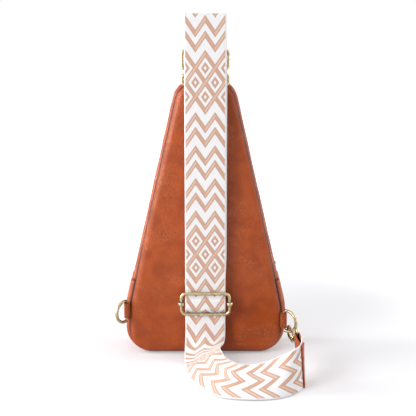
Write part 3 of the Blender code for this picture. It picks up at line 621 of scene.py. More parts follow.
def grain_group() -> NodeTree:
    """Leather grain: soft blotches, pulled-up pale patches, and the height of pores and creases.

    Returns:
        The group.
    """
    inputs = {"Place": "Vector", "Blotch Scale": "Float", "Pore Scale": "Float"}
    net, (place, blotch, pore), result = new_group("leather_grain", inputs, ("Mottle", "Pale", "Height"))
    broad = net.noise(place, blotch, 5.0, 0.62, 0.4)
    patches = net.noise(place, blotch * 0.45, 3.0, 0.5, 0.8)
    flecks = net.noise(place, blotch * 9.0, 5.0, 0.75, 0.2)
    pebbles = net.worked("ShaderNodeTexVoronoi", "Distance", {"Vector": place, "Scale": pore})
    folds = net.noise(place, pore * 0.22, 4.0, 0.6, 1.2)
    fine = net.noise(place, pore * 1.7, 2.0, 0.5)
    pale = net.step(patches, 0.42, 0.78) * net.step(flecks, 0.40, 0.72)
    height = pebbles * 0.45 + folds * 0.9 + fine * 0.2
    net.fill(result, Mottle=net.step(broad, 0.30, 0.70), Pale=pale, Height=height)
    return net.tree


def wear_group() -> NodeTree:
    """Metal wear: dark patina in patches, rubbed spots, and fine scratches in its height.

    Returns:
        The group.
    """
    inputs = {"Place": "Vector", "Scale": "Float"}
    net, (place, scale), result = new_group("metal_wear", inputs, ("Patina", "Rub", "Height"))
    clouds = net.noise(place, scale, 4.0, 0.65, 0.6)
    spots = net.noise(place, scale * 4.0, 3.0, 0.6)
    scratches = net.noise(place, scale * 9.0, 4.0, 0.7, 2.0)
    net.fill(result, Patina=net.step(clouds, 0.42, 0.66), Rub=net.step(spots, 0.45, 0.8), Height=scratches)
    return net.tree


def weave_group() -> NodeTree:
    """Woven cloth in millimetres: ribs across the band crossed by slanting threads, as a height.

    Returns:
        The group.
    """
    inputs = {"Across": "Float", "Along": "Float", "Rib": "Float"}
    net, (across, along, rib), result = new_group("weave", inputs, ("Height", "Slant"))
    turns = 2 * math.pi / rib
    ribs = net.math("SINE", along * turns)
    slant = net.math("SINE", (across + along * 0.8) * turns)
    net.fill(result, Height=ribs * 0.5 + slant * 0.5, Slant=slant)
    return net.tree


@dataclass(frozen=True)
class ZigzagPattern:
    """The strap's woven pattern, in millimetres.

    Zigzag lines run across the band in pairs. Where the lines with a peak in the middle give way
    to those with a valley there, both kinds cross and make a lattice of diamonds.
    """

    half_turn: float = 11.7
    rise: float = 17.0
    pair_step: float = 39.9
    pair_half: float = 8.8
    half_line: float = 4.4
    repeat: float = 210.6
    edge: float = 23.7
    soft: float = 0.35
    diamond: tuple[float, float] = (0.16, 0.43)
    core_reach: tuple[float, float] = (0.25, 0.6)
    core_shares: tuple[float, float] = (0.7, 0.15)

    def distance(self, along: Value, pair_centre: float) -> Value:
        """How far a place lies from the nearest line of one kind of zigzag.

        Args:
            along: The place's distance along the band, with the zigzag's own shape taken off.
            pair_centre: Where the middle of a pair lies, counted from the lattice before.

        Returns:
            The distance along the band.
        """
        start = self.repeat / 2
        turned = (along + start) % (2 * self.repeat) - start
        pair = (turned + (self.pair_step / 2 - pair_centre)) % self.pair_step - self.pair_step / 2
        near = abs(abs(pair) - self.pair_half)
        low, high = self.rise / 2, self.repeat - 1.5 * self.rise
        outside = (abs(turned - (low + high) / 2) > (high - low) / 2) * self.repeat
        first, last = abs(turned + self.rise), abs(turned - self.repeat)
        return (near + outside).low(first.low(last))

    def cell(self, wave: Value, along: Value, shift: float) -> Value:
        """How far a place lies from the middle of its diamond, as a share of the diamond.

        Args:
            wave: The zigzag's height at the place, from 0 to 1.
            along: The distance along the band.
            shift: What brings this lattice's middle to the repeat's own.

        Returns:
            0 in the middle of a diamond and 1 on its outline.
        """
        reach = abs((along + shift) % (2 * self.repeat) - self.repeat) / self.rise
        return ((1.0 - wave) + abs(reach - 1.0)).low(wave + reach)

    def group(self) -> NodeTree:
        """Make the pattern's node group: where tan lines run and where their cores are paler.

        Returns:
            The group.
        """
        inputs = {"Across": "Float", "Along": "Float"}
        net, (across, along), result = new_group("zigzag_pattern", inputs, ("Line", "Core"))
        turn = across / self.half_turn % 2.0
        wave = abs(turn - 1.0)
        inverse = 1.0 - wave
        valleys = self.distance(along - wave * self.rise, self.rise - self.pair_half)
        peaks = self.distance(along - inverse * self.rise - self.repeat, self.rise + self.pair_half)
        nearest = valleys.low(peaks)
        line = net.step(nearest, self.half_line - self.soft, self.half_line + self.soft, 1.0, 0.0)
        cells = self.cell(wave, along, self.repeat).low(self.cell(inverse, along, 0.0))
        inner, outer = self.diamond
        blur = self.soft / self.rise
        ring = net.step(cells, outer - blur, outer + blur, 1.0, 0.0) * net.step(cells, inner - blur, inner + blur)
        inside = net.step(abs(across), self.edge - self.soft, self.edge + self.soft, 1.0, 0.0)
        same = 1.0 - abs((valleys < peaks) - (turn < 1.0))
        low, high = self.core_reach
        core = net.step(nearest, self.half_line * low, self.half_line * high, 1.0, 0.0)
        share, least = self.core_shares
        net.fill(result, Line=line.high(ring) * inside, Core=core * (same * share + least))
        return net.tree


def started(name: str) -> tuple[Material, Net, Node, Value]:
    """Start a material.

    Args:
        name: Its name.

    Returns:
        The material, its net, its shader and its object coordinates.
    """
    made = bpy.data.materials.new(name)
    made.use_nodes = True
    net = Net(made.node_tree)
    return made, net, made.node_tree.nodes["Principled BSDF"], net.worked("ShaderNodeTexCoord", "Object", {})


def bump(net: Net, shader: Node, height: Value, strength: float, depth: float) -> None:
    """Feed a height to a shader's normal."""
    inputs = {"Strength": strength, "Distance": depth, "Height": height}
    net.fill(shader, Normal=net.worked("ShaderNodeBump", 0, inputs))


@dataclass(frozen=True)
class LeatherFinish:
    """Glossy pull-up leather: mottled brown, paler where it is stretched, with painted shade darkening it nearly to
    black down in its seams.
    """

    name: str
    dark: Colour = (0.290, 0.046, 0.005, 1.0)
    body: Colour = (0.430, 0.075, 0.008, 1.0)
    pale: Colour = (0.640, 0.215, 0.095, 1.0)
    # Painted shade: the near-black colour that the seams' grooves are painted with.
    seam: Colour = (0.050, 0.010, 0.004, 1.0)
    body_share: float = 0.85
    pale_share: float = 0.6
    seam_shade_share: float = 0.9
    blotch_scale: float = 42.0
    pore_scale: float = 900.0
    relief: float = 0.55
    relief_depth: float = 0.0005
    roughness: tuple[float, float] = (0.42, 0.27)
    specular: float = 0.32

    def build(self, grain: NodeTree) -> Material:
        """Make the material.

        Args:
            grain: The leather grain's group.

        Returns:
            The material.
        """
        made, net, shader, place = started(self.name)
        marks = net.group(grain, Place=place, Blotch_Scale=self.blotch_scale, Pore_Scale=self.pore_scale)
        mottle, pale, height = marks
        crease = net.worked("ShaderNodeAttribute", "Fac", {}, attribute_name=SEAM_SHADE)
        colour = net.mix(mottle * self.body_share, self.dark, self.body)
        colour = net.mix(pale * self.pale_share, colour, self.pale)
        # Painted shade: the leather darkens nearly to black in the seams' grooves and on the turned-in allowances.
        colour = net.mix(crease * self.seam_shade_share, colour, self.seam)
        net.fill(shader, Base_Color=colour, Roughness=net.step(mottle, 0.0, 1.0, *self.roughness))
        net.fill(shader, Specular_IOR_Level=self.specular)
        bump(net, shader, height, self.relief, self.relief_depth)
        return made


@dataclass(frozen=True)
class BrassFinish:
    """Antique brass: pale rubbed metal under a dark brown patina, with painted shade in the patina's colour where
    other surfaces lie close.
    """

    name: str
    bright: Colour = (0.760, 0.650, 0.430, 1.0)
    body: Colour = (0.520, 0.420, 0.250, 1.0)
    patina: Colour = (0.060, 0.045, 0.028, 1.0)
    patina_share: float = 0.35
    scale: float = 180.0
    # Painted shade: how near another surface must be for the metal to turn dark, and how dark it turns.
    painted_shade_reach: float = 0.005
    painted_shade_range: tuple[float, float] = (0.30, 0.85)
    painted_shade_share: float = 0.9
    roughness: tuple[float, float] = (0.26, 0.48)
    relief: float = 0.12
    relief_depth: float = 0.0002

    def build(self, wear: NodeTree) -> Material:
        """Make the material.

        Args:
            wear: The metal wear's group.

        Returns:
            The material.
        """
        made, net, shader, place = started(self.name)
        patina, rub, height = net.group(wear, Place=place, Scale=self.scale)
        colour = net.mix(rub, self.body, self.bright)
        colour = net.mix(patina * self.patina_share, colour, self.patina)
        # Painted shade: ambient occlusion turns the metal towards the patina colour where another surface lies within
        # reach, such as the webbing by the slider.
        open_sky = net.worked("ShaderNodeAmbientOcclusion", "AO", {"Distance": self.painted_shade_reach}, samples=8)
        painted_shade = net.step(open_sky, *self.painted_shade_range, self.painted_shade_share, 0.0)
        net.fill(shader, Base_Color=net.mix(painted_shade, colour, self.patina), Metallic=1.0)
        net.fill(shader, Roughness=net.step(patina, 0.0, 1.0, *self.roughness))
        bump(net, shader, height, self.relief, self.relief_depth)
        return made


@dataclass(frozen=True)
class WebbingFinish:
    """White woven band with tan zigzag lines and a raised weave."""

    name: str
    white: Colour = (0.900, 0.885, 0.890, 1.0)
    shade: Colour = (0.780, 0.765, 0.780, 1.0)
    tan: Colour = (0.620, 0.375, 0.275, 1.0)
    core: Colour = (0.780, 0.560, 0.440, 1.0)
    rib: float = 1.15
    shade_share: float = 0.5
    tan_share: float = 0.22
    line_height: float = 0.9
    relief: float = 0.45
    relief_depth: float = 0.0003

    def build(self, pattern: NodeTree, weave: NodeTree) -> Material:
        """Make the material.

        Args:
            pattern: The zigzag pattern's group.
            weave: The weave's group.

        Returns:
            The material.
        """
        made, net, shader, _ = started(self.name)
        sideways, forward, _ = net.parts(net.worked("ShaderNodeUVMap", 0, {}, uv_map=PLACE_MAP))
        across, along = sideways * MM, forward * MM
        tan_line, paler = net.group(pattern, Across=across, Along=along)
        height, slant = net.group(weave, Across=across, Along=along, Rib=self.rib)
        slant = net.step(slant, 0.2, 1.0)
        ground = net.mix(slant * self.shade_share, self.white, self.shade)
        line = net.mix(slant * self.tan_share, net.mix(paler, self.tan, self.core), self.tan)
        net.fill(shader, Base_Color=net.mix(tan_line, ground, line), Roughness=0.82)
        net.fill(shader, Specular_IOR_Level=0.25, Sheen_Weight=0.12)
        bump(net, shader, height + tan_line * self.line_height, self.relief, self.relief_depth)
        return made


@dataclass(frozen=True)
class ClothFinish:
    """Plain woven cloth, as on a zip's tape or a lining."""

    name: str
    body: Colour
    fleck: Colour
    rib: float = 0.55
    cloud_scale: float = 900.0
    cloud_share: float = 0.4
    relief: float = 0.4
    relief_depth: float = 0.0002

    def build(self, weave: NodeTree) -> Material:
        """Make the material.

        Args:
            weave: The weave's group.

        Returns:
            The material.
        """
        made, net, shader, place = started(self.name)
        x, y, z = net.parts(place)
        height, slant = net.group(weave, Across=(x + y) * MM, Along=z * MM, Rib=self.rib)
        cloud = net.noise(place, self.cloud_scale, 3.0)
        colour = net.mix(net.step(slant, -0.2, 1.0), self.body, self.fleck)
        net.fill(shader, Base_Color=net.mix(cloud * self.cloud_share, colour, self.body), Roughness=0.88)
        bump(net, shader, height, self.relief, self.relief_depth)
        return made


@dataclass(frozen=True)
class ThreadFinish:
    """Waxed sewing thread, twisted from fine strands."""

    name: str
    body: Colour = (0.42, 0.150, 0.060, 1.0)
    light: Colour = (0.66, 0.330, 0.170, 1.0)
    strand_scale: float = 2600.0
    relief: float = 0.3
    relief_depth: float = 0.0001

    def build(self) -> Material:
        """Make the material.

        Returns:
            The material.
        """
        made, net, shader, place = started(self.name)
        strands = net.noise(place, self.strand_scale, 3.0, 0.6, 1.0)
        colour = net.mix(net.step(strands, 0.35, 0.65), self.body, self.light)
        net.fill(shader, Base_Color=colour, Roughness=0.55)
        bump(net, shader, strands, self.relief, self.relief_depth)
        return made


@dataclass
class Finishes:
    """Every material of the bag, made once."""

    leather: Material = field(init=False)
    loop_leather: Material = field(init=False)
    brass: Material = field(init=False)
    teeth: Material = field(init=False)
    webbing: Material = field(init=False)
    tape: Material = field(init=False)
    lining: Material = field(init=False)
    board: Material = field(init=False)
    thread: Material = field(init=False)

    def __post_init__(self) -> None:
        """Build the groups and then the materials that place them."""
        grain, wear, weave = grain_group(), wear_group(), weave_group()
        self.leather = LeatherFinish("cognac_leather").build(grain)
        strap_leather = LeatherFinish("strap_leather", blotch_scale=60.0, pore_scale=1400.0, relief=0.25)
        self.loop_leather = strap_leather.build(grain)
        self.brass = BrassFinish("antique_brass").build(wear)
        self.teeth = BrassFinish("zip_brass", scale=700.0).build(wear)
        self.webbing = WebbingFinish("zigzag_webbing").build(ZigzagPattern().group(), weave)
        tape = ClothFinish("zip_tape_weave", (0.075, 0.022, 0.010, 1.0), (0.16, 0.05, 0.022, 1.0))
        lining = ClothFinish("lining_cloth", (0.09, 0.06, 0.04, 1.0), (0.16, 0.12, 0.08, 1.0), rib=0.7)
        board = ClothFinish("pressed_board", (0.17, 0.12, 0.08, 1.0), (0.24, 0.18, 0.12, 1.0), rib=1.6)
        self.tape, self.lining, self.board = (cloth.build(weave) for cloth in (tape, lining, board))
        self.thread = ThreadFinish("waxed_thread").build()


@dataclass
class Assembly:
    """What every sub-assembly shares: the frame, the finishes, and how a piece is put on show."""

    frame: dict
    finishes: Finishes

    def show(self, made: Object, finish: Material, slot: Slot, body: str, stands_for: tuple[str, ...] = ()) -> None:
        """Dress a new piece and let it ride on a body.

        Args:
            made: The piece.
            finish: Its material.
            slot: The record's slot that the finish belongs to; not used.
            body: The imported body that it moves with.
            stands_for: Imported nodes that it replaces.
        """
        made.data.materials.append(finish)
        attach(made, body)
        if stands_for:
            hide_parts(*stands_for)
        LOG.info("%s: %d faces on %s", made.name, len(made.data.polygons), body)

    def brass(self, surface: Surface, name: str, node: str, body: str = "bag") -> None:
        """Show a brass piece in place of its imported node."""
        self.show(surface.build(name), self.finishes.brass, Slot.BRASS, body, (node,))

    def loop_leather(self, surface: Surface, name: str, node: str) -> None:
        """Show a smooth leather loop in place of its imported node."""
        self.show(surface.build(name), self.finishes.loop_leather, Slot.LEATHER, "bag", (node,))

    def stitches(self, surface: Surface, name: str, slot: Slot = Slot.LEATHER) -> None:
        """Show a piece's stitches."""
        self.show(surface.build(name), self.finishes.thread, slot, "bag")

    def dress(self, node: str, finish: Material) -> None:
        """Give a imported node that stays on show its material.

        Args:
            node: The node's name.
            finish: Its material.
        """
        target = self.frame["nodes"][node]
        target.data.materials.clear()
        target.data.materials.append(finish)
        LOG.info("%s: dressed", node)


@dataclass(frozen=True)
class BagShape:
    """The bag's driving sizes, as in its solids, and the lines worked out from them."""

    height: float = 0.344
    base_half: float = 0.101
    top_half: float = 0.035
    shoulder: float = 0.060
    notch: float = 0.095
    base_depth: float = 0.060
    top_depth: float = 0.040
    corner_radii: tuple[float, float, float] = (0.032, 0.110, 0.026)
    leather: float = 0.0018
    gap: float = 0.0003
    inset_low: float = 0.0056
    inset_high: float = 0.0035
    inset_span: tuple[float, float] = (-0.025, 0.055)
    base_tuck: float = 0.6
    allowance: float = 0.005
    seam_rest: float = 0.0008
    edge_drop: float = 0.003
    edge_roll: float = 0.008
    crown: float = 0.0025
    hollow: float = 0.004
    hollow_edge: float = 0.35
    roll_edge: float = 0.72
    gusset_step: float = 0.0012
    zip_opening: float = 0.011
    tape_width: float = 0.026
    tape: float = 0.0008
    chain_height: float = 0.0021
    pocket_zip_height: float = 0.218
    pocket_zip_length: float = 0.086
    solid_steps: tuple[int, int, int] = (6, 2, 5)
    solid_run: float = 0.048

    @property
    def wedge(self) -> float:
        """How much each face leans in, per metre of height."""
        return (self.base_depth - self.top_depth) / 2 / self.height

    def face_depth(self, z: Array) -> Array:
        """How far a face lies from the bag's middle plane."""
        return self.base_depth / 2 - self.wedge * z

    def edge_depth(self, z: Array, side: int) -> Array:
        """Where the gusset's edge lies, behind a panel's rolled rim."""
        rest = self.seam_rest if side > 0 else 0.0
        return self.face_depth(z) - self.edge_drop - self.leather - self.gap + rest

    def seam_inset(self, z: Array, nz: Array | float = 0.0) -> Array:
        """How far the panels' rims lie inside the outline: less where it faces down.

        Args:
            z: Heights.
            nz: The outline's outward normal's z.

        Returns:
            The distances.
        """
        share = ease(np.asarray(z) - self.notch, *self.inset_span)
        inset = self.inset_low + (self.inset_high - self.inset_low) * share
        return inset * (1 - self.base_tuck * np.clip(-np.asarray(nz), 0.0, 1.0))

    def gusset_lift(self, across: Array, z: Array, nz: Array | float = 0.0) -> Array:
        """How far the gusset stands off the outline.

        Args:
            across: Places across its width, from -1 to 1.
            z: Heights.
            nz: The outline's outward normal's z.

        Returns:
            The distances, below 0 inside the outline.
        """
        edge = np.abs(across)
        roll = np.clip((edge - self.roll_edge) / (1 - self.roll_edge), 0.0, 1.0) ** 2
        hollow = (1.0 - ease(edge, self.hollow_edge, self.roll_edge)) * ease(z, self.shoulder / 2, self.shoulder)
        return -self.seam_inset(z, nz) * roll - self.hollow * hollow

    def outline(self, steps: tuple[int, int, int] = (20, 8, 16), longest: float = 0.004) -> Array:
        """The right half of the outline, from base centre to top centre.

        Straight runs join arcs: an arc's middle lies a radius inside both of its straights.

        Args:
            steps: Steps on the base corner's, the shoulder's and the top corner's arcs.
            longest: Straight runs are split to this length.

        Returns:
            Rows of x, z and the outward normal's x and z.
        """
        share = (self.notch - self.shoulder) / (self.height - self.shoulder)
        notch_x = self.base_half + (self.top_half - self.base_half) * share
        sides = ((0, 0), (self.base_half, 0), (self.base_half, self.shoulder), (notch_x, self.notch))
        stops = np.array((*sides, (self.top_half, self.height), (0, self.height)))
        radii = (*self.corner_radii[:2], 0.0, self.corner_radii[2])
        counts = (steps[0], steps[1], 0, steps[2])
        ways = unit(np.diff(stops, axis=0))
        rows = [np.array((0.0, 0.0, 0.0, -1.0))]
        for stop, before, after, radius, count in zip(stops[1:], ways, ways[1:], radii, counts):
            first, last = math.atan2(-before[0], before[1]), math.atan2(-after[0], after[1])
            start = stop - before * radius * math.tan((last - first) / 2)
            centre = start - radius * np.array((math.cos(first), math.sin(first)))
            angles = np.linspace(first, last, count + 1)
            normals = columns(np.cos(angles), np.sin(angles))
            rows += list(np.hstack((centre + radius * normals, normals)))
        rows = np.vstack((*rows, (0.0, self.height, 0.0, 1.0)))
        leaps = np.diff(rows, axis=0)
        pieces = np.maximum(1, np.ceil(np.hypot(leaps[:, 0], leaps[:, 1]) / longest)).astype(int)
        run = np.repeat(np.arange(len(leaps)), pieces)
        number = np.arange(len(run)) - np.repeat(np.cumsum(pieces) - pieces, pieces) + 1
        return np.vstack((rows[:1], rows[run] + leaps[run] * number[:, None] / pieces[run][:, None]))

    def seam_x(self, z: float) -> float:
        """Where the panel's rim lies at a height, on the right side."""
        rows = self.outline(self.solid_steps, self.solid_run)[1:-1]
        return float(np.interp(z, rows[:, 1], rows[:, 0]) - self.seam_inset(z))


SHAPE = BagShape()
LOOP_LEATHER = 0.0014
WIRE = 0.002
SEWN_LIFT = 0.0001
WIRE_STEP = 0.0008
LOOP_CORNER = 0.0005
SEAM_INSET = 0.0022
LOOP_RADIUS = WIRE + SHAPE.gap + LOOP_LEATHER / 2
MIRROR_ROW = np.array((-1.0, 1.0, -1.0, 1.0))


def rumple(x: Array, z: Array, size: float) -> Array:
    """Slow dents of soft leather, as three products of crossed sine waves.

    Args:
        x: Places across the bag.
        z: Heights.
        size: The dents' height.

    Returns:
        How far each place stands out.
    """
    first = np.sin(61.0 * x + 23.0 * z + 0.7) * np.sin(19.0 * x - 47.0 * z + 1.9)
    second = np.sin(131.0 * z - 37.0 * x + 0.3) * np.sin(83.0 * x + 2.1)
    third = np.sin(211.0 * x + 157.0 * z) * np.sin(97.0 * z - 173.0 * x + 1.1)
    return size * (0.55 * first + 0.3 * second + 0.15 * third)


@dataclass
class BagBody(Assembly):
    """The leather shell: two panels, the gusset round the base and the strips beside the zip."""

    shape: BagShape = SHAPE
    thread: Thread = Thread()
    pucker_pitch: float = 0.0105
    pucker: float = 0.00022
    pucker_start: tuple[float, float] = (0.001, 0.005)
    pucker_end: tuple[float, float] = (0.006, 0.017)
    dent: float = 0.0007
    dent_share: float = 0.5
    dent_shift: float = 0.03
    calm_rim: tuple[float, float] = (0.004, 0.020)
    rim_columns: tuple[float, ...] = (0.0, 0.0006, 0.0013, 0.0022, 0.0033, 0.0046, 0.0061, 0.0080, 0.0105)
    inner_columns: int = 16
    slot_corner: float = 0.3
    cutter_reach: float = 0.008
    base_calm: tuple[float, float] = (0.006, 0.03)
    edge_calm: tuple[float, float] = (0.75, 0.95)
    gusset_dent: float = 0.6
    fold_share: float = 0.15
    gusset_columns: int = 45
    strip_columns: int = 24
    strip_start: float = 0.12
    seam_off_zip: float = 0.0018
    seam_off_slot: float = 0.0025

    def sheet(self, name: str, grid: Array, outward: Array, crease: Array, thickness: float) -> Object:
        """An open grid of points made a sheet that has its thickness on its inner side.

        Args:
            name: The piece's name.
            grid: Its points, in rows.
            outward: A direction on the outer side of its first corner.
            crease: How deep in a seam each point lies, from 0 to 1, which sets how much painted shade it gets.
            thickness: The sheet's.

        Returns:
            The object.
        """
        faces = grid_faces(*grid.shape[:2])
        if np.dot(np.cross(grid[1, 0] - grid[0, 0], grid[0, 1] - grid[0, 0]), outward) < 0:
            faces = faces[:, ::-1]
        mesh = bpy.data.meshes.new(name)
        mesh.from_pydata(grid.reshape(-1, 3).tolist(), [], faces.tolist())
        layer = mesh.attributes.new(SEAM_SHADE, "FLOAT", "POINT")
        layer.data.foreach_set("value", np.broadcast_to(crease, grid.shape[:2]).astype(np.float32).ravel())
        mesh.shade_smooth()
        made = linked(name, mesh)
        solid = made.modifiers.new("wall", "SOLIDIFY")
        solid.thickness = thickness
        solid.offset = -1.0
        return made

    def leather(self, name: str, grid: Array, outward: Array, crease: Array, node: str) -> None:
        """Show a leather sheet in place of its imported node."""
        made = self.sheet(name, grid, outward, crease, self.shape.leather)
        self.show(made, self.finishes.leather, Slot.LEATHER, "bag", (node,))

    def panel_points(self, face: Face) -> tuple[Array, Array]:
        """A panel's points and how deep each lies in its seam, which sets its painted seam shade.

        Each row runs across at one height of the rim. The face lies on the wedge's plane, bows
        out in its middle, and falls at the rim by the square of the nearness to it.

        Args:
            face: Which panel.

        Returns:
            The points in rows, and their depths in the seam from 0 to 1, the shares of painted seam shade.
        """
        shape = self.shape
        rows = shape.outline()
        first = int(np.flatnonzero(rows[:, 3] <= -1.0)[-1])
        last = int(np.flatnonzero(rows[:, 3] >= 1.0)[0])
        x, z, nx, nz = rows[first : last + 1].T
        inset = shape.seam_inset(z, nz)
        half, height = x - nx * inset, z - nz * inset
        rim = np.array(self.rim_columns)
        inner = (half - rim[-1])[:, None] * np.linspace(1.0, 0.0, self.inner_columns)[None, 1:]
        right = np.hstack((half[:, None] - rim[None], inner))
        xs = np.hstack((right, -right[:, -2::-1]))
        low, high = height.min(), height.max()
        tall = height[:, None]
        nearest = np.minimum(half[:, None] - np.abs(xs), np.minimum(tall - low, high - tall))
        fall = np.clip(1 - nearest / shape.edge_roll, 0.0, 1.0)
        swell = np.sqrt(np.clip(np.sin(np.pi * (tall - low) / (high - low)), 0.0, 1.0))
        bow = (shape.crown if face is Face.BACK else 0.0) * (1 - (xs / half[:, None]) ** 2) * swell
        dents = rumple(xs + self.dent_shift * face.value, tall, self.dent) * ease(nearest, *self.calm_rim)
        along = lengths_along(columns(half, height))[:, None]
        tucks = np.sin(2 * np.pi * along / self.pucker_pitch) * self.pucker
        tucks = tucks * ease(nearest, *self.pucker_start) * (1 - ease(nearest, *self.pucker_end))
        y = shape.face_depth(tall) + bow - shape.edge_drop * fall**2 + dents * self.dent_share + tucks
        # The painted seam shade rises where the face falls away at the rim.
        return columns(xs, face.value * y, tall), ease(fall, 0.80, 1.0)

    def back_panel(self) -> None:
        """The panel that lies against the wearer's back."""
        grid, crease = self.panel_points(Face.BACK)
        self.leather("back_panel_leather", grid, -Y_AXIS, crease, "back_panel")

    def front_panel(self) -> None:
        """The outer panel, with the pocket zip's slot cut through it."""
        grid, crease = self.panel_points(Face.FRONT)
        made = self.sheet("front_panel_leather", grid, Y_AXIS, crease, self.shape.leather)
        cutter = self.slot_cutter()
        slot = made.modifiers.new("slot", "BOOLEAN")
        slot.operation = "DIFFERENCE"
        slot.solver = "EXACT"
        slot.object = cutter
        bpy.context.view_layer.update()
        cut = bpy.data.meshes.new_from_object(made.evaluated_get(bpy.context.evaluated_depsgraph_get()))
        made.modifiers.clear()
        made.data = cut
        cut.shade_smooth()
        cut.set_sharp_from_angle(angle=math.radians(40))
        bpy.data.objects.remove(cutter)
        self.show(made, self.finishes.leather, Slot.LEATHER, "bag", ("front_panel",))

    def slot_cutter(self) -> Object:
        """Make a block with the slot's outline, straight through the front face.

        Returns:
            The block, which goes again once the slot is cut.
        """
        shape = self.shape
        outline = rounded_rectangle(shape.pocket_zip_length, shape.zip_opening, shape.zip_opening * self.slot_corner)
        depths = shape.face_depth(shape.pocket_zip_height) + self.cutter_reach * np.array(((-1,), (1,)))
        surface = Surface()
        points = columns(outline[:, 0], depths, shape.pocket_zip_height + outline[:, 1])
        surface.add(points, swept_faces(2, len(outline)))
        return surface.build("slot_cutter")

    def bottom_gusset(self) -> None:
        """The U of leather round the base, from notch to notch, stepped out over the zip strips."""
        shape = self.shape
        rows = shape.outline()
        notch = int(np.argmin(np.abs(rows[:, 1] - shape.notch)))
        rows = np.vstack(((rows[: notch + 1] * MIRROR_ROW)[::-1], rows[1 : notch + 1]))
        bends = np.sin(np.linspace(-np.pi / 2, np.pi / 2, self.gusset_columns))
        x, z, nx, nz = (column[:, None] for column in rows.T)
        y = np.where(bends > 0, shape.edge_depth(z, 1), shape.edge_depth(z, -1)) * bends[None]
        lift = shape.gusset_lift(bends[None], z, nz) + shape.gusset_step * ease(z, shape.shoulder / 2, shape.shoulder)
        grid = self.along_outline(rows, y, lift, np.abs(bends)[None])
        back, front = self.turned_in(grid[:, :1], nx, nz), self.turned_in(grid[:, -1:], nx, nz)
        grid = np.hstack((back[:, ::-1], grid, front))
        # Painted seam shade: full on both turned-in allowances, rising over the last strip before each edge.
        crease = np.concatenate(((1.0, 1.0), ease(np.abs(bends), 0.94, 1.0), (1.0, 1.0)))
        self.leather("bottom_gusset_leather", grid, -Y_AXIS, crease, "bottom_gusset")

    def along_outline(self, rows: Array, y: Array, lift: Array, edge: Array) -> Array:
        """Points of a band round the outline, with dents away from its seams and off the flat base.

        Args:
            rows: The outline's x, z and normal.
            y: The band's depths, in rows.
            lift: How far its points stand off the outline.
            edge: How near its points are to its edges, up to 1.

        Returns:
            The points, in rows.
        """
        x, z, nx, nz = (column[:, None] for column in rows.T)
        free = ease(z, *self.base_calm) * (1 - ease(edge, *self.edge_calm))
        off = lift + rumple(y * 3.0 + 0.1, z + x, self.dent * self.gusset_dent) * free
        return columns(x + nx * off, y, z + nz * off)

    def turned_in(self, edge: Array, nx: Array, nz: Array) -> Array:
        """Two more columns beside an edge: the seam allowance, turned in behind the panel's rim."""
        inward = -columns(nx, 0.0, nz) * self.shape.allowance
        return np.hstack((edge + inward * self.fold_share, edge + inward))

    def strip_rows(self) -> Array:
        """The outline from just above the right notch over the top to the left one.

        Returns:
            Rows of x, z and the outward normal's x and z.
        """
        rows = self.shape.outline()
        notch = int(np.argmin(np.abs(rows[:, 1] - self.shape.notch)))
        start = rows[notch].copy()
        start[:2] += (rows[notch + 1][:2] - start[:2]) * self.strip_start
        right = np.vstack((start, rows[notch + 1 :]))
        return np.vstack((right, (right * MIRROR_ROW)[::-1][1:]))

    def zip_strip(self, face: Face) -> None:
        """The leather strip on one side of the main zip.

        Args:
            face: The side.
        """
        shape = self.shape
        rows = self.strip_rows()
        _, z, nx, nz = (column[:, None] for column in rows.T)
        share = 1 - np.cos(np.linspace(0.0, np.pi / 2, self.strip_columns))
        edge = shape.edge_depth(z, face.value)
        y = edge + (shape.zip_opening / 2 - edge) * share[None]
        across = y / edge
        grid = self.along_outline(rows, face.value * y, shape.gusset_lift(across, z), np.abs(across))
        grid = np.hstack((self.turned_in(grid[:, :1], nx, nz)[:, ::-1], grid))
        # Painted seam shade: full on the turned-in allowance, rising towards the edge by the panel's rim.
        crease = np.hstack((np.ones((len(rows), 2)), ease(across, 0.93, 1.0)))
        side = face.name.lower()
        self.leather(f"zip_strip_{side}", grid, face.value * Y_AXIS, crease, f"zip_gusset_{side}")

    def strip_stitches(self) -> None:
        """Rows of stitches along both sides of the main zip and round the pocket's slot."""
        shape = self.shape
        surface = Surface()
        x, z, nx, nz = self.strip_rows().T
        for face in Face:
            y = face.value * (shape.zip_opening / 2 + self.seam_off_zip)
            lift = shape.gusset_lift(y / shape.edge_depth(z, face.value), z) + SEWN_LIFT
            self.thread.sew(surface, columns(x + nx * lift, y, z + nz * lift), columns(nx, 0.0, nz))
        off = 2 * self.seam_off_slot
        ring = rounded_rectangle(shape.pocket_zip_length + off, shape.zip_opening + off, off)
        height = shape.pocket_zip_height + ring[:, 1]
        dents = rumple(ring[:, 0] + self.dent_shift, height, self.dent) * self.dent_share
        path = columns(ring[:, 0], shape.face_depth(height) + dents + SEWN_LIFT, height)
        self.thread.sew(surface, np.vstack((path, path[:1])), Y_AXIS)
        self.stitches(surface, "zip_stitches")

    def build(self) -> None:
        """Build the shell."""
        self.back_panel()
        self.front_panel()
        self.bottom_gusset()
        for face in Face:
            self.zip_strip(face)
        self.strip_stitches()
        self.dress("base_board", self.finishes.board)
        self.dress("pocket_bag", self.finishes.lining)


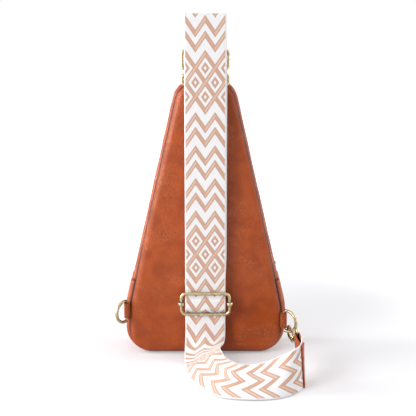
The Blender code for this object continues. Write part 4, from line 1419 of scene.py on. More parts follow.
@dataclass
class Zips(Assembly):
    """The main zip over the top and the pocket's zip: woven tapes and rows of metal teeth."""

    shape: BagShape = SHAPE
    pitch: float = 0.0013
    tooth: tuple[float, float, float] = (0.0040, 0.0011, 0.0020)
    stagger: float = 0.0008
    main_columns: int = 15
    pocket_columns: int = 30
    pocket_rows: int = 12
    tape_past: float = 0.006
    teeth_short: float = 0.002

    def teeth(self, path: Array, out: Array, across: Array, name: str, node: str) -> None:
        """A row of teeth that mesh from both sides along a path.

        Args:
            path: The middle of the row.
            out: The outward direction along it.
            across: The direction from one tape to the other along it.
            name: The piece's name.
            node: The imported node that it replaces.
        """
        along = lengths_along(path)
        count = int(along[-1] / self.pitch)
        rows = resample(np.hstack((path, *(np.broadcast_to(way, path.shape) for way in (out, across)))), along, count)
        places, outward, sideways = rows[:, :3], unit(rows[:, 3:6]), unit(rows[:, 6:])
        turn = np.where(np.arange(count) % 2 == 0, 1.0, -1.0)[:, None]
        axes = np.stack((sideways, np.cross(outward, sideways), outward), axis=1)
        form, faces = capsule(*self.tooth)
        surface = Surface()
        surface.repeated(form, faces, places + turn * self.stagger * sideways, axes)
        self.show(surface.build(name), self.finishes.teeth, Slot.TEETH, "bag", (node,))

    def tape(self, grid: Array, outward: Array, name: str, node: str, body: BagBody) -> None:
        """Show a woven tape on a grid of points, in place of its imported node."""
        made = body.sheet(name, grid, outward, np.zeros(grid.shape[:2]), self.shape.tape)
        self.show(made, self.finishes.tape, Slot.TAPE, "bag", (node,))

    def build(self, body: BagBody) -> None:
        """Build both zips.

        Args:
            body: The shell that they are sewn into.
        """
        shape = self.shape
        x, z, nx, nz = body.strip_rows().T
        sunk = shape.hollow + shape.leather + shape.gap
        edges = np.linspace(-0.5, 0.5, self.main_columns) * shape.tape_width
        grid = columns((x - nx * sunk)[:, None], edges, (z - nz * sunk)[:, None])
        self.tape(grid, np.array((nx[0], 0.0, nz[0])), "main_tape", "main_zip_tape", body)
        lift = sunk - shape.gap - shape.chain_height / 2
        path = columns(x - nx * lift, 0.0, z - nz * lift)
        self.teeth(path, columns(nx, 0.0, nz), Y_AXIS, "main_teeth", "main_zip_chain")
        self.pocket(body)
        for node in ("main_zip_slider", "main_zip_pull", "pocket_zip_slider", "pocket_zip_pull"):
            self.dress(node, self.finishes.brass)

    def pocket(self, body: BagBody) -> None:
        """The pocket's tape and teeth, straight across the front.

        Args:
            body: The shell that they are sewn into.
        """
        shape = self.shape
        half = shape.pocket_zip_length / 2
        across = np.linspace(-half - self.tape_past, half + self.tape_past, self.pocket_columns)
        up = shape.pocket_zip_height + np.linspace(-0.5, 0.5, self.pocket_rows) * shape.tape_width
        y = shape.face_depth(up) - shape.leather - shape.gap
        grid = columns(across, y[:, None], up[:, None])
        self.tape(grid, Y_AXIS, "pocket_tape", "pocket_zip_tape", body)
        level = float(shape.face_depth(shape.pocket_zip_height)) - shape.leather + shape.chain_height / 2
        ends = np.array((self.teeth_short - half, half - self.teeth_short))
        path = columns(ends, level, shape.pocket_zip_height)
        self.teeth(path, Y_AXIS, Z_AXIS, "pocket_teeth", "pocket_zip_chain")


def flat_section(width: float, thickness: float, corner: float, across: int = 12, steps: int = 4) -> Array:
    """A band's section: a flat rectangle with round edges, with points spread over its faces.

    Args:
        width: Its size across the band.
        thickness: The band's.
        corner: The radius of its edges.
        across: Spans over each face.
        steps: Steps on each edge's quarter circles.

    Returns:
        The closed outline.
    """
    turns = rounded_rectangle(width, thickness, corner, steps)
    count = steps + 1
    rows = []
    for quarter in range(4):
        rows.append(turns[quarter * count : (quarter + 1) * count])
        start, end = turns[(quarter + 1) * count - 1], turns[(quarter + 1) * count % len(turns)]
        if quarter % 2 == 0:
            shares = np.linspace(0.0, 1.0, across + 1)[1:-1, None]
            rows.append(start + (end - start) * shares)
    return np.vstack(rows)


@dataclass(frozen=True)
class TopSizes:
    """Heights and widths of the rings above the bag and their leather."""

    y: float = -0.0285
    ring_width: float = 0.0552
    lower_bar: float = 0.341
    lower_height: float = 0.011
    upper_height: float = 0.021
    span: float = 0.0075
    corner: float = 0.003
    loop_width: float = 0.047
    tab_foot: float = 0.316
    tab_bend: float = 0.012

    @property
    def upper_bar(self) -> float:
        """The height of the lower ring's upper bar."""
        return self.lower_bar + self.lower_height

    @property
    def link_top(self) -> float:
        """The height of the upper ring's lower bar."""
        return self.upper_bar + self.span

    @property
    def strap_bar(self) -> float:
        """The height of the bar that the strap hangs from."""
        return self.link_top + self.upper_height


TOP = TopSizes()


def in_plane(path: Array, x: float = 0.0) -> Array:
    """A path of y and z in the plane across the bag's width, at an x."""
    return columns(x, path[:, 0], path[:, 1])


@dataclass
class TopHardware(Assembly):
    """The rings above the bag, the tab that holds them and the leather link between them."""

    shape: BagShape = SHAPE
    sizes: TopSizes = TOP
    thread: Thread = Thread(pitch=0.0030, length=0.0023, width=0.0007, height=0.0005)
    loop_step: float = 0.0007
    link_seam: float = 0.0012
    tab_seams: tuple[float, float] = (0.003, 0.0095)
    tab_crowns: tuple[float, float] = (0.75, 0.6)

    def ring(self, name: str, low: float, high: float) -> None:
        """A rectangular wire ring round the strap's line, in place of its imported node.

        Args:
            name: The node.
            low: The height of its lower bar.
            high: The height of its upper bar.
        """
        outline = even_outline(rounded_rectangle(self.sizes.ring_width, high - low, self.sizes.corner, 8), WIRE_STEP)
        surface = Surface()
        surface.tube(columns(outline[:, 0], self.sizes.y, (low + high) / 2 + outline[:, 1]), WIRE, Y_AXIS, closed=True)
        self.brass(surface, f"{name}_wire", name)

    def loop(self, name: str, path: Array, closed: bool, seams: tuple[float, ...]) -> None:
        """A strip of leather along a path of y and z, with stitches across it.

        Args:
            name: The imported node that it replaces.
            path: The strip's middle line.
            closed: Whether it runs all the way round.
            seams: Heights of the rows of stitches on its outer face.
        """
        ends = np.vstack((path, path[:1])) if closed else path
        along = lengths_along(ends)
        fine = resample(ends, along, int(along[-1] / self.loop_step))
        fine = fine[:-1] if closed else fine
        section = flat_section(self.sizes.loop_width, LOOP_LEATHER, LOOP_CORNER)
        surface, threads = Surface(), Surface()
        surface.band(in_plane(fine), X_AXIS, section, closed=closed)
        self.loop_leather(surface, f"{name}_leather", name)
        half = self.sizes.loop_width / 2 - SEAM_INSET
        outer = fine[int(np.argmin(fine[:, 0])) :]
        outer = outer[np.argsort(outer[:, 1])]
        for height in seams:
            level = fine[:, 0].min() if closed else float(np.interp(height, outer[:, 1], outer[:, 0]))
            row = columns(np.array((-half, half)), level - LOOP_LEATHER / 2, height)
            self.thread.sew(threads, row, -Y_AXIS)
        self.stitches(threads, f"{name}_stitches")

    def build(self) -> None:
        """Build the rings, the tab and the link."""
        sizes, shape, y = self.sizes, self.shape, self.sizes.y
        self.ring("lower_ring", sizes.lower_bar, sizes.upper_bar)
        self.ring("upper_ring", sizes.link_top, sizes.strap_bar)
        turns = arc((y, sizes.upper_bar), LOOP_RADIUS, 180, 360, 24), arc((y, sizes.link_top), LOOP_RADIUS, 0, 180, 24)
        middle = (sizes.upper_bar + sizes.link_top) / 2
        self.loop("top_link", np.vstack(turns), True, (middle - self.link_seam, middle + self.link_seam))
        seat = shape.gap + LOOP_LEATHER / 2
        bend = sizes.tab_foot + sizes.tab_bend
        heights = np.array((sizes.tab_foot, bend))
        near = columns(-shape.face_depth(heights) - shape.crown * np.array(self.tab_crowns) - seat, heights)
        turn = arc((y, sizes.lower_bar), LOOP_RADIUS, 0, 180, 24)
        tab = np.vstack((near, turn, near[::-1] - (LOOP_LEATHER + shape.gap, 0.0)))
        self.loop("top_tab", tab, False, tuple(sizes.tab_foot + rise for rise in self.tab_seams))


@dataclass
class SideRings(Assembly):
    """The leather tabs sewn into the side seams and the D rings that hang in them."""

    shape: BagShape = SHAPE
    bar_y: float = -0.0275
    reach: float = 0.0043
    width: float = 0.020
    trim: float = 0.0004
    heights: tuple[float, float] = (0.0565, 0.0436)
    swings: tuple[float, float] = (53.0, 42.0)
    ring_height: float = 0.0266
    ring_depth: float = 0.019
    ring_corner: float = 0.0035
    thread: Thread = Thread(pitch=0.0026, length=0.0021, width=0.0006, height=0.0005)
    tab_rows: int = 60

    def bar_x(self, height: float) -> float:
        """Where a ring's bar lies out from the middle."""
        return self.shape.seam_x(height) + self.reach

    def ring_path(self) -> Array:
        """The D ring's centre line: two corners and a bow.

        Returns:
            Rows of x away from its bar and z along it.
        """
        half, corner = self.ring_height / 2, self.ring_corner
        lower = arc((corner, corner - half), corner, 180, 270, 8)
        bow = arc((self.ring_depth - half, 0.0), half, -90, 90, 40)
        upper = arc((corner, half - corner), corner, 90, 180, 8)
        return even_outline(np.vstack((lower, bow, upper)), WIRE_STEP)

    def ring(self, side: Side, height: float, swing: float) -> None:
        """A D ring, swung to where it hangs.

        Args:
            side: The bag's side.
            height: The ring's middle.
            swing: How far it has swung towards the back, in degrees.
        """
        turn = math.radians(swing)
        turn = math.pi + turn if side is Side.LEFT else -turn
        away, up = self.ring_path().T
        x = side.value * self.bar_x(height) + away * math.cos(turn)
        path = columns(x, self.bar_y + away * math.sin(turn), height + up)
        surface = Surface()
        surface.tube(path, WIRE, np.array((-math.sin(turn), math.cos(turn), 0.0)), closed=True)
        name = side.name.lower()
        self.brass(surface, f"{name}_ring_wire", f"{name}_ring", f"{name}_d_ring")

    def tab(self, side: Side, height: float) -> None:
        """A tab folded round a ring's bar, with its crossed stitches.

        Args:
            side: The bag's side.
            height: The tab's middle.
        """
        gap = self.shape.gap
        root = self.shape.seam_x(height - self.width / 2) + gap
        bar = self.bar_x(height)
        near, far = self.bar_y + LOOP_RADIUS, self.bar_y - LOOP_RADIUS
        start, end = (root, near - gap), (root, near - LOOP_LEATHER - 3 * gap)
        turn = arc((bar, self.bar_y), LOOP_RADIUS, 90, -90, 24)
        path = np.vstack((start, (bar - WIRE, near), turn, (bar - WIRE, far), end))
        path = resample(path, lengths_along(path), self.tab_rows)
        centres = columns(side.value * path[:, 0], path[:, 1], height)
        surface = Surface()
        surface.band(centres, Z_AXIS, flat_section(self.width - 2 * self.trim, LOOP_LEATHER, LOOP_CORNER, across=8))
        name = f"{side.name.lower()}_tab"
        self.loop_leather(surface, f"{name}_leather", name)
        self.crossed_stitches(f"{name}_stitches", centres[self.tab_rows * 3 // 5 : -2])

    def crossed_stitches(self, name: str, outer: Array) -> None:
        """Two crossed rows of stitches and one along the seam, on a tab's outer layer.

        Args:
            name: The piece's name.
            outer: The outer layer's middle line, from the ring's bar to the seam.
        """
        threads = Surface()
        out = unit(np.cross(np.gradient(outer, axis=0), Z_AXIS))
        out = out * -np.sign(out[:, 1:2])
        face = outer + out * (LOOP_LEATHER / 2 + SEWN_LIFT)
        share = np.linspace(-1.0, 1.0, len(face)) * (self.width / 2 - SEAM_INSET)
        for rise in (share, -share):
            self.thread.sew(threads, face + np.outer(rise, Z_AXIS), out)
        root = face[-2] + np.outer((share[0], share[-1]), Z_AXIS)
        self.thread.sew(threads, root, out[-2])
        self.stitches(threads, name)

    def build(self) -> None:
        """Build both sides."""
        for side, height, swing in zip(Side, self.heights, self.swings):
            self.ring(side, height, swing)
            self.tab(side, height)


@dataclass(frozen=True)
class SliderSizes:
    """The strap slider's sizes and place."""

    y: float = -0.0425
    height: float = 0.070
    width: float = 0.060
    rise: float = 0.027
    corner: float = 0.006
    bar_radius: float = 0.0016
    sleeve_radius: float = 0.00325
    sleeve_wire: float = 0.00095
    sleeve_stretch: float = 2.4


SLIDER = SliderSizes()


@dataclass
class StrapSlider(Assembly):
    """The adjuster: a welded wire frame and the bar whose sleeves grip its sides."""

    sizes: SliderSizes = SLIDER
    weld_x: float = -0.0036
    weld_length: float = 0.0013
    weld_swell: float = 0.14
    wire_step: float = 0.0007

    def build(self) -> None:
        """Build the frame and the bar."""
        sizes = self.sizes
        outline = even_outline(rounded_rectangle(sizes.width, sizes.rise, sizes.corner, 10), self.wire_step)
        at_weld = np.exp(-(((outline[:, 0] - self.weld_x) / self.weld_length) ** 2)) * (outline[:, 1] < 0)
        path = columns(outline[:, 0], sizes.y, sizes.height + outline[:, 1])
        surface, bar = Surface(), Surface()
        surface.tube(path, WIRE * (1 + self.weld_swell * at_weld), Y_AXIS, closed=True, sides=18)
        self.brass(surface, "slider_wire", "slider_frame")
        half = sizes.width / 2 - sizes.bar_radius
        rod = columns(np.linspace(-half, half, 24), sizes.y + sizes.sleeve_radius, sizes.height)
        bar.tube(rod, sizes.bar_radius, Y_AXIS, sides=14)
        turn = np.linspace(0.0, 2 * np.pi, 20, endpoint=False)
        across = sizes.sleeve_radius + sizes.sleeve_wire * np.cos(turn)
        profile = columns(across, sizes.sleeve_wire * sizes.sleeve_stretch * np.sin(turn))
        for side in Side:
            bar.turned(profile, (side.value * sizes.width / 2, sizes.y, sizes.height), Z_AXIS)
        self.brass(bar, "slider_bar_rod", "slider_bar")


@dataclass(frozen=True)
class StrapSizes:
    """The webbing's sizes and the bends of its way through the slider, as in its solid."""

    width: float = 0.050
    thickness: float = 0.002
    gap: float = 0.0003
    tail_rise: float = 0.0145
    fold_rise: float = 0.038
    fold_radius: float = 0.0025
    inner_shift: float = 0.0012
    band_lift: float = 0.0003
    tail_bends: Bends = ((0.0024, 0.0058), (0.0004, 0.0026))
    tail_dip: float = 0.0030
    rise_bend: tuple[float, float] = (0.0005, 0.0050)
    weave_bends: Bends = ((0.0006, 0.0020), (0.0021, 0.0042))
    weave_layers: tuple[float, float] = (1.3, 1.15)
    weave_heights: tuple[float, float] = (0.0055, 0.0020)
    shift_start: float = 0.03
    shift_end: float = 0.07
    ring_exit: Bends = ((0.0004, 0.008), (0.0, 0.020))
    cap_start: int = 10
    webbing_end: int = 11

    @property
    def fold_height(self) -> float:
        """The height of the middle of the fold above the rings."""
        return TOP.strap_bar + self.fold_rise

    @property
    def tail_top(self) -> float:
        """Where the sewn tail ends, above the slider."""
        return SLIDER.height + SLIDER.rise / 2 + self.tail_rise


STRAP = StrapSizes()
FLOOR_ROUTE = (
    ((0.000, -0.0396, 0.0460), (1.00, 0.00, 0.00)),
    ((0.000, -0.0415, 0.0300), (1.00, 0.00, 0.00)),
    ((-0.001, -0.0480, 0.0165), (0.97, 0.14, 0.12)),
    ((-0.003, -0.0680, 0.0090), (0.86, 0.38, 0.34)),
    ((0.0035, -0.1080, 0.0110), (0.87, 0.27, 0.41)),
    ((0.0150, -0.1300, 0.0120), (0.70, 0.55, 0.45)),
    ((0.0285, -0.1490, 0.0135), (0.43, 0.76, 0.49)),
    ((0.0550, -0.1540, 0.0140), (0.16, 0.85, 0.50)),
    ((0.0760, -0.1540, 0.0170), (0.04, 0.77, 0.63)),
    ((0.0980, -0.1510, 0.0230), (0.02, 0.45, 0.89)),
    ((0.1110, -0.1360, 0.0250), (-0.06, 0.20, 0.98)),
    ((0.1135, -0.1140, 0.0270), (0.00, 0.06, 1.00)),
)


def curve_through(points: Array, steps: int) -> Array:
    """A smooth curve through points: on each span a cubic set by the points on either side.

    Args:
        points: The points.
        steps: Samples on each span.

    Returns:
        The curve's points.
    """
    padded = np.vstack((2 * points[0] - points[1], points, 2 * points[-1] - points[-2]))
    t = (np.arange(steps) / steps)[:, None]
    spans = []
    for a, b, c, d in zip(padded, padded[1:], padded[2:], padded[3:]):
        bend = (2 * a - 5 * b + 4 * c - d) * t**2 + (3 * b - a - 3 * c + d) * t**3
        spans.append(0.5 * (2 * b + (c - a) * t + bend))
    return np.vstack(spans + [points[-1:]])


@dataclass(frozen=True)
class HookPlace:
    """Where the snap hook lies, between its eye and the right ring's lower wire."""

    rings: SideRings
    eye: tuple[float, float, float] = (0.1121, -0.0795, 0.0331)
    upright: tuple[float, float, float] = (-0.05, 0.0, 1.0)
    ring_point: float = 0.009
    reach: float = 0.0312

    def target(self) -> Array:
        """Find the point on the ring that the hook holds.

        Returns:
            The point.
        """
        rings = self.rings
        height, swing = rings.heights[1], math.radians(rings.swings[1])
        x = rings.bar_x(height) + self.ring_point * math.cos(swing)
        y = rings.bar_y - self.ring_point * math.sin(swing)
        return np.array((x, y, height - rings.ring_height / 2))

    def axes(self) -> tuple[Array, Array, Array]:
        """Find the hook's own directions.

        Returns:
            Along to the hook's nose, up across it, and out of its plane.
        """
        along = unit(self.target() - np.array(self.eye))
        upright = np.array(self.upright)
        up = unit(upright - along * float(upright @ along))
        return along, up, np.cross(up, along)


@dataclass
class Strap(Assembly):
    """The patterned webbing in one length and the leather end that holds the hook's eye."""

    place: HookPlace
    sizes: StrapSizes = STRAP
    fine: float = 0.0005
    row: float = 0.0012
    visual_thickness: float = 0.0018
    edge_share: float = 0.45
    lattice_height: float = 0.3466
    turn_height: float = 0.018
    turn_length: float = 0.042
    gather: float = 0.0763
    end_width: float = 0.0245
    end_taper: tuple[float, float] = (0.15, 0.9)
    eye_wire: float = 0.0016
    thread: Thread = Thread(pitch=0.0029, length=0.0023, width=0.0007, height=0.0005)
    route_steps: int = 16
    softness: float = 2.4
    tail_seam: float = 0.003
    end_rows: int = 150
    end_softness: float = 1.2
    mouth_inset: float = 0.004
    stitch_ends: tuple[int, int] = (3, 12)

    def strand(self) -> tuple[Array, int]:
        """The strap above the floor: sewn tail, bar, fold, ring, fold and slider.

        Returns:
            Its centre line, and the number of the point where the front strand starts down.
        """
        sizes = self.sizes
        layer = sizes.thickness + sizes.gap
        bar_y, bar_z = SLIDER.y + SLIDER.sleeve_radius, SLIDER.height
        wrap = SLIDER.bar_radius + 1.5 * sizes.gap + sizes.thickness / 2
        behind = SLIDER.y + WIRE + sizes.gap + sizes.thickness / 2
        top, foot = SLIDER.height + SLIDER.rise / 2, SLIDER.height - SLIDER.rise / 2
        middle, inner = behind + layer, behind + 2 * layer
        tail = [(middle, sizes.tail_top), (middle, top), (behind + 0.7 * layer, top - sizes.tail_dip)]
        tail += [(bar_y - wrap + y, bar_z + z) for y, z in sizes.tail_bends]
        rise = [(bar_y + wrap + sizes.rise_bend[0], bar_z + sizes.rise_bend[1])]
        rise += [(inner, top - sizes.gap), (inner, sizes.tail_top)]
        shifted = [(middle, sizes.tail_top + sizes.shift_start), (middle, sizes.fold_height - sizes.shift_end)]
        fold_y = middle + sizes.fold_radius
        outer = sizes.fold_radius + layer
        ring_wrap = WIRE + sizes.gap + sizes.thickness / 2
        edge = TOP.y + ring_wrap
        (pull, low), (_, high) = sizes.ring_exit
        back_up = [(edge - pull, TOP.strap_bar + low), ((edge + fold_y + outer) / 2, TOP.strap_bar + high)]
        down = [(behind, sizes.tail_top), (behind, top)]
        weave = [(behind - y, top - z) for y, z in sizes.weave_bends]
        weave += [(bar_y - wrap - n * layer, bar_z + z) for n, z in zip(sizes.weave_layers, sizes.weave_heights)]
        weave += [(y, 2 * bar_z - z) for y, z in weave[::-1]]
        runs = [
            in_plane(np.vstack((tail, arc((bar_y, bar_z), wrap, 180, 360, 24), rise))),
            in_plane(np.array(shifted), sizes.inner_shift),
            in_plane(arc((fold_y, sizes.fold_height), sizes.fold_radius, 180, 0, 20)),
            in_plane(arc((TOP.y, TOP.strap_bar), ring_wrap, 180, 360, 20)),
            in_plane(np.array(back_up)),
            in_plane(arc((fold_y, sizes.fold_height), outer, 0, 180, 28)),
        ]
        front = sum(len(run) for run in runs) - 1
        return np.vstack((*runs, in_plane(np.array([*down, *weave, (behind, foot)])))), front

    def resting(self, across: Array, normal: Array) -> Array:
        """How high the band's middle lies where its lower edge rests on the floor."""
        sizes = self.sizes
        return across[:, 2] * sizes.width / 2 + np.abs(normal[:, 2]) * sizes.thickness / 2 + sizes.band_lift

    def floor_band(self) -> tuple[Array, Array, Array]:
        """The strap from the slider to its end: a smooth curve, lifted to rest on the floor.

        Returns:
            Its centres, width directions and normals.
        """
        up = self.place.axes()[1]
        places = np.array([point for point, _ in FLOOR_ROUTE] + [self.place.eye])
        turns = np.array([across for _, across in FLOOR_ROUTE] + [tuple(up)])
        centres = curve_through(places, self.route_steps)
        across = unit(curve_through(turns, self.route_steps))
        normal = unit(np.cross(np.gradient(centres, axis=0), across))
        last = self.sizes.webbing_end * self.route_steps
        centres[:last, 2] = np.maximum(centres[:last, 2], self.resting(across, normal)[:last])
        return centres, across, normal

    def webbing(self) -> None:
        """The webbing, through its loops above and along the floor to the leather end."""
        sizes = self.sizes
        upper, front = self.strand()
        centres, across, _ = self.floor_band()
        stop = sizes.webbing_end * self.route_steps + 1
        places = np.vstack((upper, centres[:stop]))
        turns = np.vstack((np.broadcast_to(X_AXIS, upper.shape), across[:stop]))
        along = lengths_along(places)
        rows = resample(np.hstack((places, turns)), along, int(along[-1] / self.fine))
        rows = soften(rows, self.softness)[:: max(1, round(self.row / self.fine))]
        path, turns = rows[:, :3], unit(rows[:, 3:])
        normal = unit(np.cross(np.gradient(path, axis=0), turns))
        floor = lengths_along(path) > along[len(upper)]
        path[:, 2] = np.where(floor, np.maximum(path[:, 2], self.resting(turns, normal)), path[:, 2])
        surface = Surface()
        thickness = self.visual_thickness
        surface.band(path, turns, flat_section(sizes.width, thickness, thickness * self.edge_share, 14, 3))
        places = surface.places[0]
        fold = along[front] + sizes.fold_height
        gathered = fold - self.turn_height
        share = ease(places[:, 1], gathered, gathered + self.turn_length)
        places[:, 1] += self.gather * share - (fold - self.lattice_height)
        self.show(surface.build("zigzag_strap", 60.0), self.finishes.webbing, Slot.WEBBING, "bag", ("strap_webbing",))

    def tail_stitches(self) -> None:
        """The rows of stitches that hold the strap's tail, seen on its front strand's inner side."""
        sizes = self.sizes
        surface = Surface()
        level = SLIDER.y + WIRE + 3 * (sizes.thickness + sizes.gap)
        half = sizes.width / 2 - self.tail_seam
        for number in (1, 2):
            row = columns(np.array((-half, half)), level, sizes.tail_top - number * self.tail_seam)
            self.thread.sew(surface, row, Y_AXIS)
        self.stitches(surface, "tail_stitches", Slot.WEBBING)

    def end(self) -> None:
        """Two layers of leather over the webbing's end, folded round the hook's eye and stitched."""
        sizes = self.sizes
        centres, across, normal = self.floor_band()
        run = slice(sizes.cap_start * self.route_steps, len(centres) - 1)
        share = np.linspace(0.0, 1.0, len(centres[run]))
        wrap = self.eye_wire + sizes.gap + LOOP_LEATHER / 2
        off = (sizes.thickness + LOOP_LEATHER) / 2 + sizes.gap
        off = (off + (wrap - off) * np.maximum(0.0, share * 2 - 1))[:, None]
        widths = sizes.width + (self.end_width - sizes.width) * ease(share, *self.end_taper)
        along, up, out = self.place.axes()
        out = -out if float(normal[-1] @ out) < 0 else out
        angles = np.radians(np.linspace(-90, 90, 17))[:, None]
        turn = np.array(self.place.eye) + wrap * (np.cos(angles) * along + np.sin(angles) * out)
        places = np.vstack((centres[run] - normal[run] * off, turn, (centres[run] + normal[run] * off)[::-1]))
        turns = np.vstack((across[run], np.broadcast_to(up, turn.shape), across[run][::-1]))
        spread = np.concatenate((widths, np.full(len(turn), self.end_width), widths[::-1]))
        rows = resample(np.column_stack((places, turns, spread)), lengths_along(places), self.end_rows)
        rows = soften(rows, self.end_softness)
        places, turns, spread = rows[:, :3], unit(rows[:, 3:6]), rows[:, 6]
        places[:, 2] = np.maximum(places[:, 2], turns[:, 2] * spread / 2 + sizes.band_lift)
        surface = Surface()
        section = flat_section(sizes.width, LOOP_LEATHER, LOOP_CORNER)
        surface.band(places, turns, section, widen=spread / sizes.width)
        self.loop_leather(surface, "strap_end_leather", "strap_end")
        self.end_stitches(places, turns, spread)

    def end_stitches(self, places: Array, turns: Array, spread: Array) -> None:
        """Stitches along both edges of both layers, and across their mouths.

        Args:
            places: The leather's middle line, from one mouth round the eye to the other.
            turns: Its width directions.
            spread: Its widths.
        """
        surface = Surface()
        off = unit(np.cross(heading(places), turns))
        middle = len(places) // 2
        mouth_off, fold_off = self.stitch_ends
        layers = slice(mouth_off, middle - fold_off), slice(middle + fold_off, len(places) - mouth_off)
        for layer, mouth in zip(layers, (0, -1)):
            away = np.einsum("nd,nd->n", off[layer], places[layer] - places[::-1][layer])
            out = off[layer] if float(away.sum()) > 0 else -off[layer]
            face = places[layer] + out * LOOP_LEATHER / 2
            for edge in (-1, 1):
                path = face + edge * turns[layer] * (spread[layer] / 2 - SEAM_INSET)[:, None]
                self.thread.sew(surface, path, out)
            half = turns[layer][mouth] * (spread[layer][mouth] / 2 - self.mouth_inset)
            self.thread.sew(surface, np.array((face[mouth] - half, face[mouth] + half)), out[mouth])
        self.stitches(surface, "strap_end_stitches")

    def build(self) -> None:
        """Build the strap and its end."""
        self.webbing()
        self.tail_stitches()
        self.end()


@dataclass
class SnapHook(Assembly):
    """The swivel snap hook: collar and hooked wire, gate on its pin, and the eye in the leather."""

    place: HookPlace
    wire: float = 0.0019
    half: float = 0.0068
    arc_start: float = 0.032
    nose: float = 0.0264
    shoulder: float = 0.0125
    spine_bends: Bends = ((-0.0024, 0.0035), (-0.0040, 0.0075))
    arm_bends: Bends = ((0.0024, 0.0035), (0.0040, 0.0070), (0.0060, 0.0106), (0.0068, 0.0132))
    bend_step: float = 0.0004
    bend_softness: float = 2.2
    pivot: float = 0.0142
    pin_bore: float = 0.0010
    gate_wire: float = 0.0015
    gate_start: float = 0.0017
    gate_end: float = 0.00165
    ear_radius: float = 0.0023
    ear_corner: float = 0.0003
    gap: float = 0.0003
    collar_span: tuple[float, float] = (0.0008, 0.0058)
    collar_steps: Bends = ((0.0003, 0.0), (0.0, 0.0003), (0.0, 0.0008), (0.0004, 0.0012))
    collar_rim: float = 0.0004
    collar_radius: float = 0.0036
    bore: float = 0.0015
    pin_steps: Bends = ((0.0001, 0.0), (0.0009, 0.0), (0.0012, 0.0002), (0.0008, 0.0005))
    post: Bends = (
        (0.0001, -0.0042), (0.0012, -0.0042), (0.0012, 0.0065), (0.0019, 0.0067), (0.0019, 0.0074), (0.0001, 0.0077)
    )
    eye_width: float = 0.032
    eye_wire: float = 0.0016
    eye_neck: tuple[float, float, float] = (0.010, -0.0040, 0.0010)
    eye_corner: float = 0.0025

    def in_hook(self, points: Array) -> Array:
        """Put points in their place.

        Args:
            points: Distances out of the hook's plane, across it and along it.

        Returns:
            The points in the bag's frame.
        """
        along, up, out = self.place.axes()
        origin = self.place.target() - along * self.place.reach
        points = np.atleast_2d(points)
        return origin + points[:, :1] * out + points[:, 1:2] * up + points[:, 2:] * along

    def wires(self, surface: Surface, bends: Array, radius: float, closed: bool = False) -> None:
        """Add a smooth wire in the hook's plane.

        Args:
            surface: The piece that it belongs to.
            bends: Places that it runs through, across the hook and along it.
            radius: The wire's radius.
            closed: Whether its end joins its start.
        """
        bends = np.asarray(bends, float)
        along = lengths_along(bends)
        fine = soften(resample(bends, along, int(along[-1] / self.bend_step) + 1), self.bend_softness)
        fine = even_outline(bends, self.bend_step) if closed else fine
        surface.tube(self.in_hook(columns(0.0, fine[:, 0], fine[:, 1])), radius, self.place.axes()[2], closed=closed)

    def on_pin(self, surface: Surface, profile: Array) -> None:
        """Add a form turned round the gate's pin."""
        surface.turned(profile, self.in_hook((0.0, self.half, self.pivot))[0], self.place.axes()[2])

    def on_axis(self, surface: Surface, profile: Array) -> None:
        """Add a form turned round the hook's length."""
        surface.turned(profile, self.in_hook(np.zeros(3))[0], self.place.axes()[0])

    def body(self) -> None:
        """The collar with its rims, the hooked wire, the arm and its half of the hinge."""
        surface = Surface()
        radius, (foot, top) = self.collar_radius, self.collar_span
        lower = [(radius - inset, foot + rise) for inset, rise in self.collar_steps]
        upper = [(radius - inset, top - rise) for inset, rise in self.collar_steps[:0:-1]]
        ends = (radius - self.collar_rim, top), (self.bore, top)
        self.on_axis(surface, np.array(((self.bore, foot), *lower, *upper, *ends)))
        bow = arc((0.0, self.arc_start), self.half, 180, 0, 36)
        spine = np.vstack((self.spine_bends, ((-self.half, self.shoulder),), bow, ((self.half, self.nose),)))
        self.wires(surface, spine, self.wire)
        self.wires(surface, self.arm_bends, self.wire)
        self.lug(surface, -1)
        self.brass(surface, "hook_body_cast", "hook_body", "hook")

    def lug(self, surface: Surface, side: int) -> None:
        """Half of the gate's hinge, a short barrel on one side of the hook's middle plane.

        Args:
            surface: The piece that it belongs to.
            side: The sign of its side.
        """
        low, high = sorted((side * self.gap / 2, side * (self.wire - self.gap / 2)))
        inner, outer, corner = self.pin_bore, self.ear_radius, self.ear_corner
        lower = (inner, low), (outer - corner, low), (outer, low + corner)
        upper = (outer, high - corner), (outer - corner, high), (inner, high)
        self.on_pin(surface, np.array((*lower, *upper)))

    def gate(self) -> None:
        """The gate: its half of the hinge and the leaf that closes the mouth."""
        surface = Surface()
        self.lug(surface, 1)
        leaf = (self.half, self.pivot + self.gate_start), (self.half, self.nose - self.gate_end)
        self.wires(surface, leaf, self.gate_wire)
        self.brass(surface, "hook_gate_leaf", "hook_gate", "gate")

    def pin(self) -> None:
        """The gate's pin with its two riveted heads."""
        surface = Surface()
        reach = self.wire + self.gap
        lower = [(radius, rise - reach) for radius, rise in self.pin_steps]
        upper = [(radius, reach - rise) for radius, rise in self.pin_steps[::-1]]
        self.on_pin(surface, np.array(lower + upper))
        self.brass(surface, "hook_gate_pin", "gate_pin", "hook")

    def eye(self) -> None:
        """The eye in the leather's fold and the headed post that turns in the collar."""
        surface = Surface()
        corner = self.eye_corner
        bar = self.place.reach - float(np.linalg.norm(self.place.target() - np.array(self.place.eye)))
        side, low = self.eye_width / 2 - corner, bar + corner
        wide = np.vstack((arc((-side, low), corner, 180, 270, 8), arc((side, low), corner, 270, 360, 8)))
        narrow, neck, cut = self.eye_neck[0] / 2, self.eye_neck[1], self.eye_neck[2]
        top = ((narrow, neck - cut), (narrow - cut, neck), (cut - narrow, neck), (-narrow, neck - cut))
        self.wires(surface, np.vstack((wide, top)), self.eye_wire, closed=True)
        self.on_axis(surface, np.array(self.post))
        self.brass(surface, "hook_eye_loop", "hook_eye")

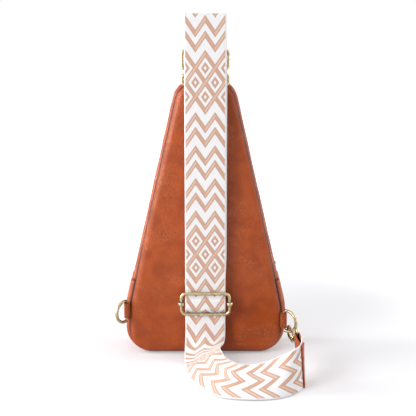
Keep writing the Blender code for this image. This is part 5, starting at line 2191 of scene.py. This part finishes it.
    def build(self) -> None:
        """Build the hook's four pieces."""
        self.body()
        self.gate()
        self.pin()
        self.eye()


@dataclass(frozen=True)
class Lamp:
    """A rectangular soft lamp."""

    name: str
    place: tuple[float, float, float]
    aim: tuple[float, float, float]
    size: tuple[float, float]
    watts: float

    def build(self) -> None:
        """Put the lamp in the scene."""
        light = bpy.data.lights.new(self.name, "AREA")
        light.shape = "RECTANGLE"
        light.size, light.size_y = self.size
        light.energy = self.watts
        lamp = linked(self.name, light)
        lamp.location = self.place
        lamp.rotation_euler = (Vector(self.aim) - Vector(self.place)).to_track_quat("-Z", "Y").to_euler()


def seen_directly(net: Net) -> Value:
    """Tell what is seen from light that falls on the bag.

    Args:
        net: The net that it is used in.

    Returns:
        1 for what the camera, a reflection or a clear surface sees, and 0 for other light.
    """
    path = net.node("ShaderNodeLightPath").outputs
    camera, glossy, clear = (Value(net, path[f"Is {ray} Ray"]) for ray in ("Camera", "Glossy", "Transmission"))
    return camera.high(glossy.high(clear))


@dataclass
class Studio:
    """A white floor and background, soft lamps and the photo's camera."""

    camera_place: tuple[float, float, float] = (0.0033, -1.112, 0.4197)
    camera_tilt: float = 78.0
    lens: float = 77.7
    floor_size: float = 6.0
    world_strength: float = 0.42
    shadow_reach: float = 0.25
    white_reach: float = 0.75
    floor_glow: float = 0.22
    floor_colour: Colour = (0.70, 0.70, 0.72, 1.0)
    white: Colour = (1.0, 1.0, 1.0, 1.0)
    lamps: tuple[Lamp, ...] = (
        Lamp("key", (-1.10, -0.95, 0.60), (0.0, -0.03, 0.18), (0.7, 0.8), 18.0),
        Lamp("left_strip", (-1.0, 0.05, 0.45), (0.0, 0.0, 0.20), (0.25, 1.1), 9.0),
        Lamp("right_strip", (1.0, 0.05, 0.45), (0.0, 0.0, 0.20), (0.25, 1.1), 7.0),
        Lamp("overhead", (0.0, 0.15, 1.5), (0.0, 0.0, 0.1), (0.8, 0.8), 2.5),
    )

    def floor(self) -> None:
        """The white floor, which keeps the bag's shadow and fades to pure white away from it."""
        half = self.floor_size / 2
        mesh = bpy.data.meshes.new("studio_floor")
        mesh.from_pydata([(-half, -half, 0), (half, -half, 0), (half, half, 0), (-half, half, 0)], [], [(0, 1, 2, 3)])
        floor = linked("studio_floor", mesh)
        made, net, shader, place = started("studio_white")
        reach = net.worked("ShaderNodeVectorMath", "Value", {0: place}, operation="LENGTH")
        fade = net.step(reach, self.shadow_reach, self.white_reach, self.floor_glow, 1.0)
        net.fill(shader, Base_Color=self.floor_colour, Roughness=0.9, Specular_IOR_Level=0.0)
        net.fill(shader, Emission_Color=self.white, Emission_Strength=seen_directly(net) * fade)
        mesh.materials.append(made)
        floor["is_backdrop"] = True

    def world(self) -> None:
        """A plain pale world that shows as white."""
        world = bpy.data.worlds.new("studio_world")
        world.use_nodes = True
        bpy.context.scene.world = world
        net = Net(world.node_tree)
        strength = net.step(seen_directly(net), 0.0, 1.0, self.world_strength, 1.0)
        net.fill(world.node_tree.nodes["Background"], Color=self.white, Strength=strength)

    def camera(self) -> None:
        """The camera, at the photo's place."""
        data = bpy.data.cameras.new("camera")
        data.lens = self.lens
        data.clip_start, data.clip_end = 0.05, 30.0
        made = linked("camera", data)
        made.location = self.camera_place
        made.rotation_euler = (math.radians(self.camera_tilt), 0.0, 0.0)
        bpy.context.scene.camera = made

    def build(self) -> None:
        """Set up the studio."""
        self.floor()
        self.world()
        for lamp in self.lamps:
            lamp.build()
        self.camera()
        bpy.context.scene.view_settings.view_transform = "Standard"


def box_of_all() -> list[list[float]]:
    """The shown object's lowest and highest corners, as plain lists."""
    bpy.context.view_layer.update()
    return [list(corner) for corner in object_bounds()]


def main() -> None:
    """Build the bag round its frame, then the studio."""
    logging.basicConfig(level=logging.INFO, format="%(name)s: %(message)s", stream=sys.stdout)
    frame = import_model()
    packed = box_of_all()
    finishes = Finishes()
    shell = BagBody(frame, finishes)
    shell.build()
    Zips(frame, finishes).build(shell)
    TopHardware(frame, finishes).build()
    rings = SideRings(frame, finishes)
    rings.build()
    StrapSlider(frame, finishes).build()
    place = HookPlace(rings)
    Strap(frame, finishes, place).build()
    SnapHook(frame, finishes, place).build()
    Studio().build()
    {"packed": packed, "shown": box_of_all()}
    LOG.info("done")


if __name__ == "__main__":
    main()
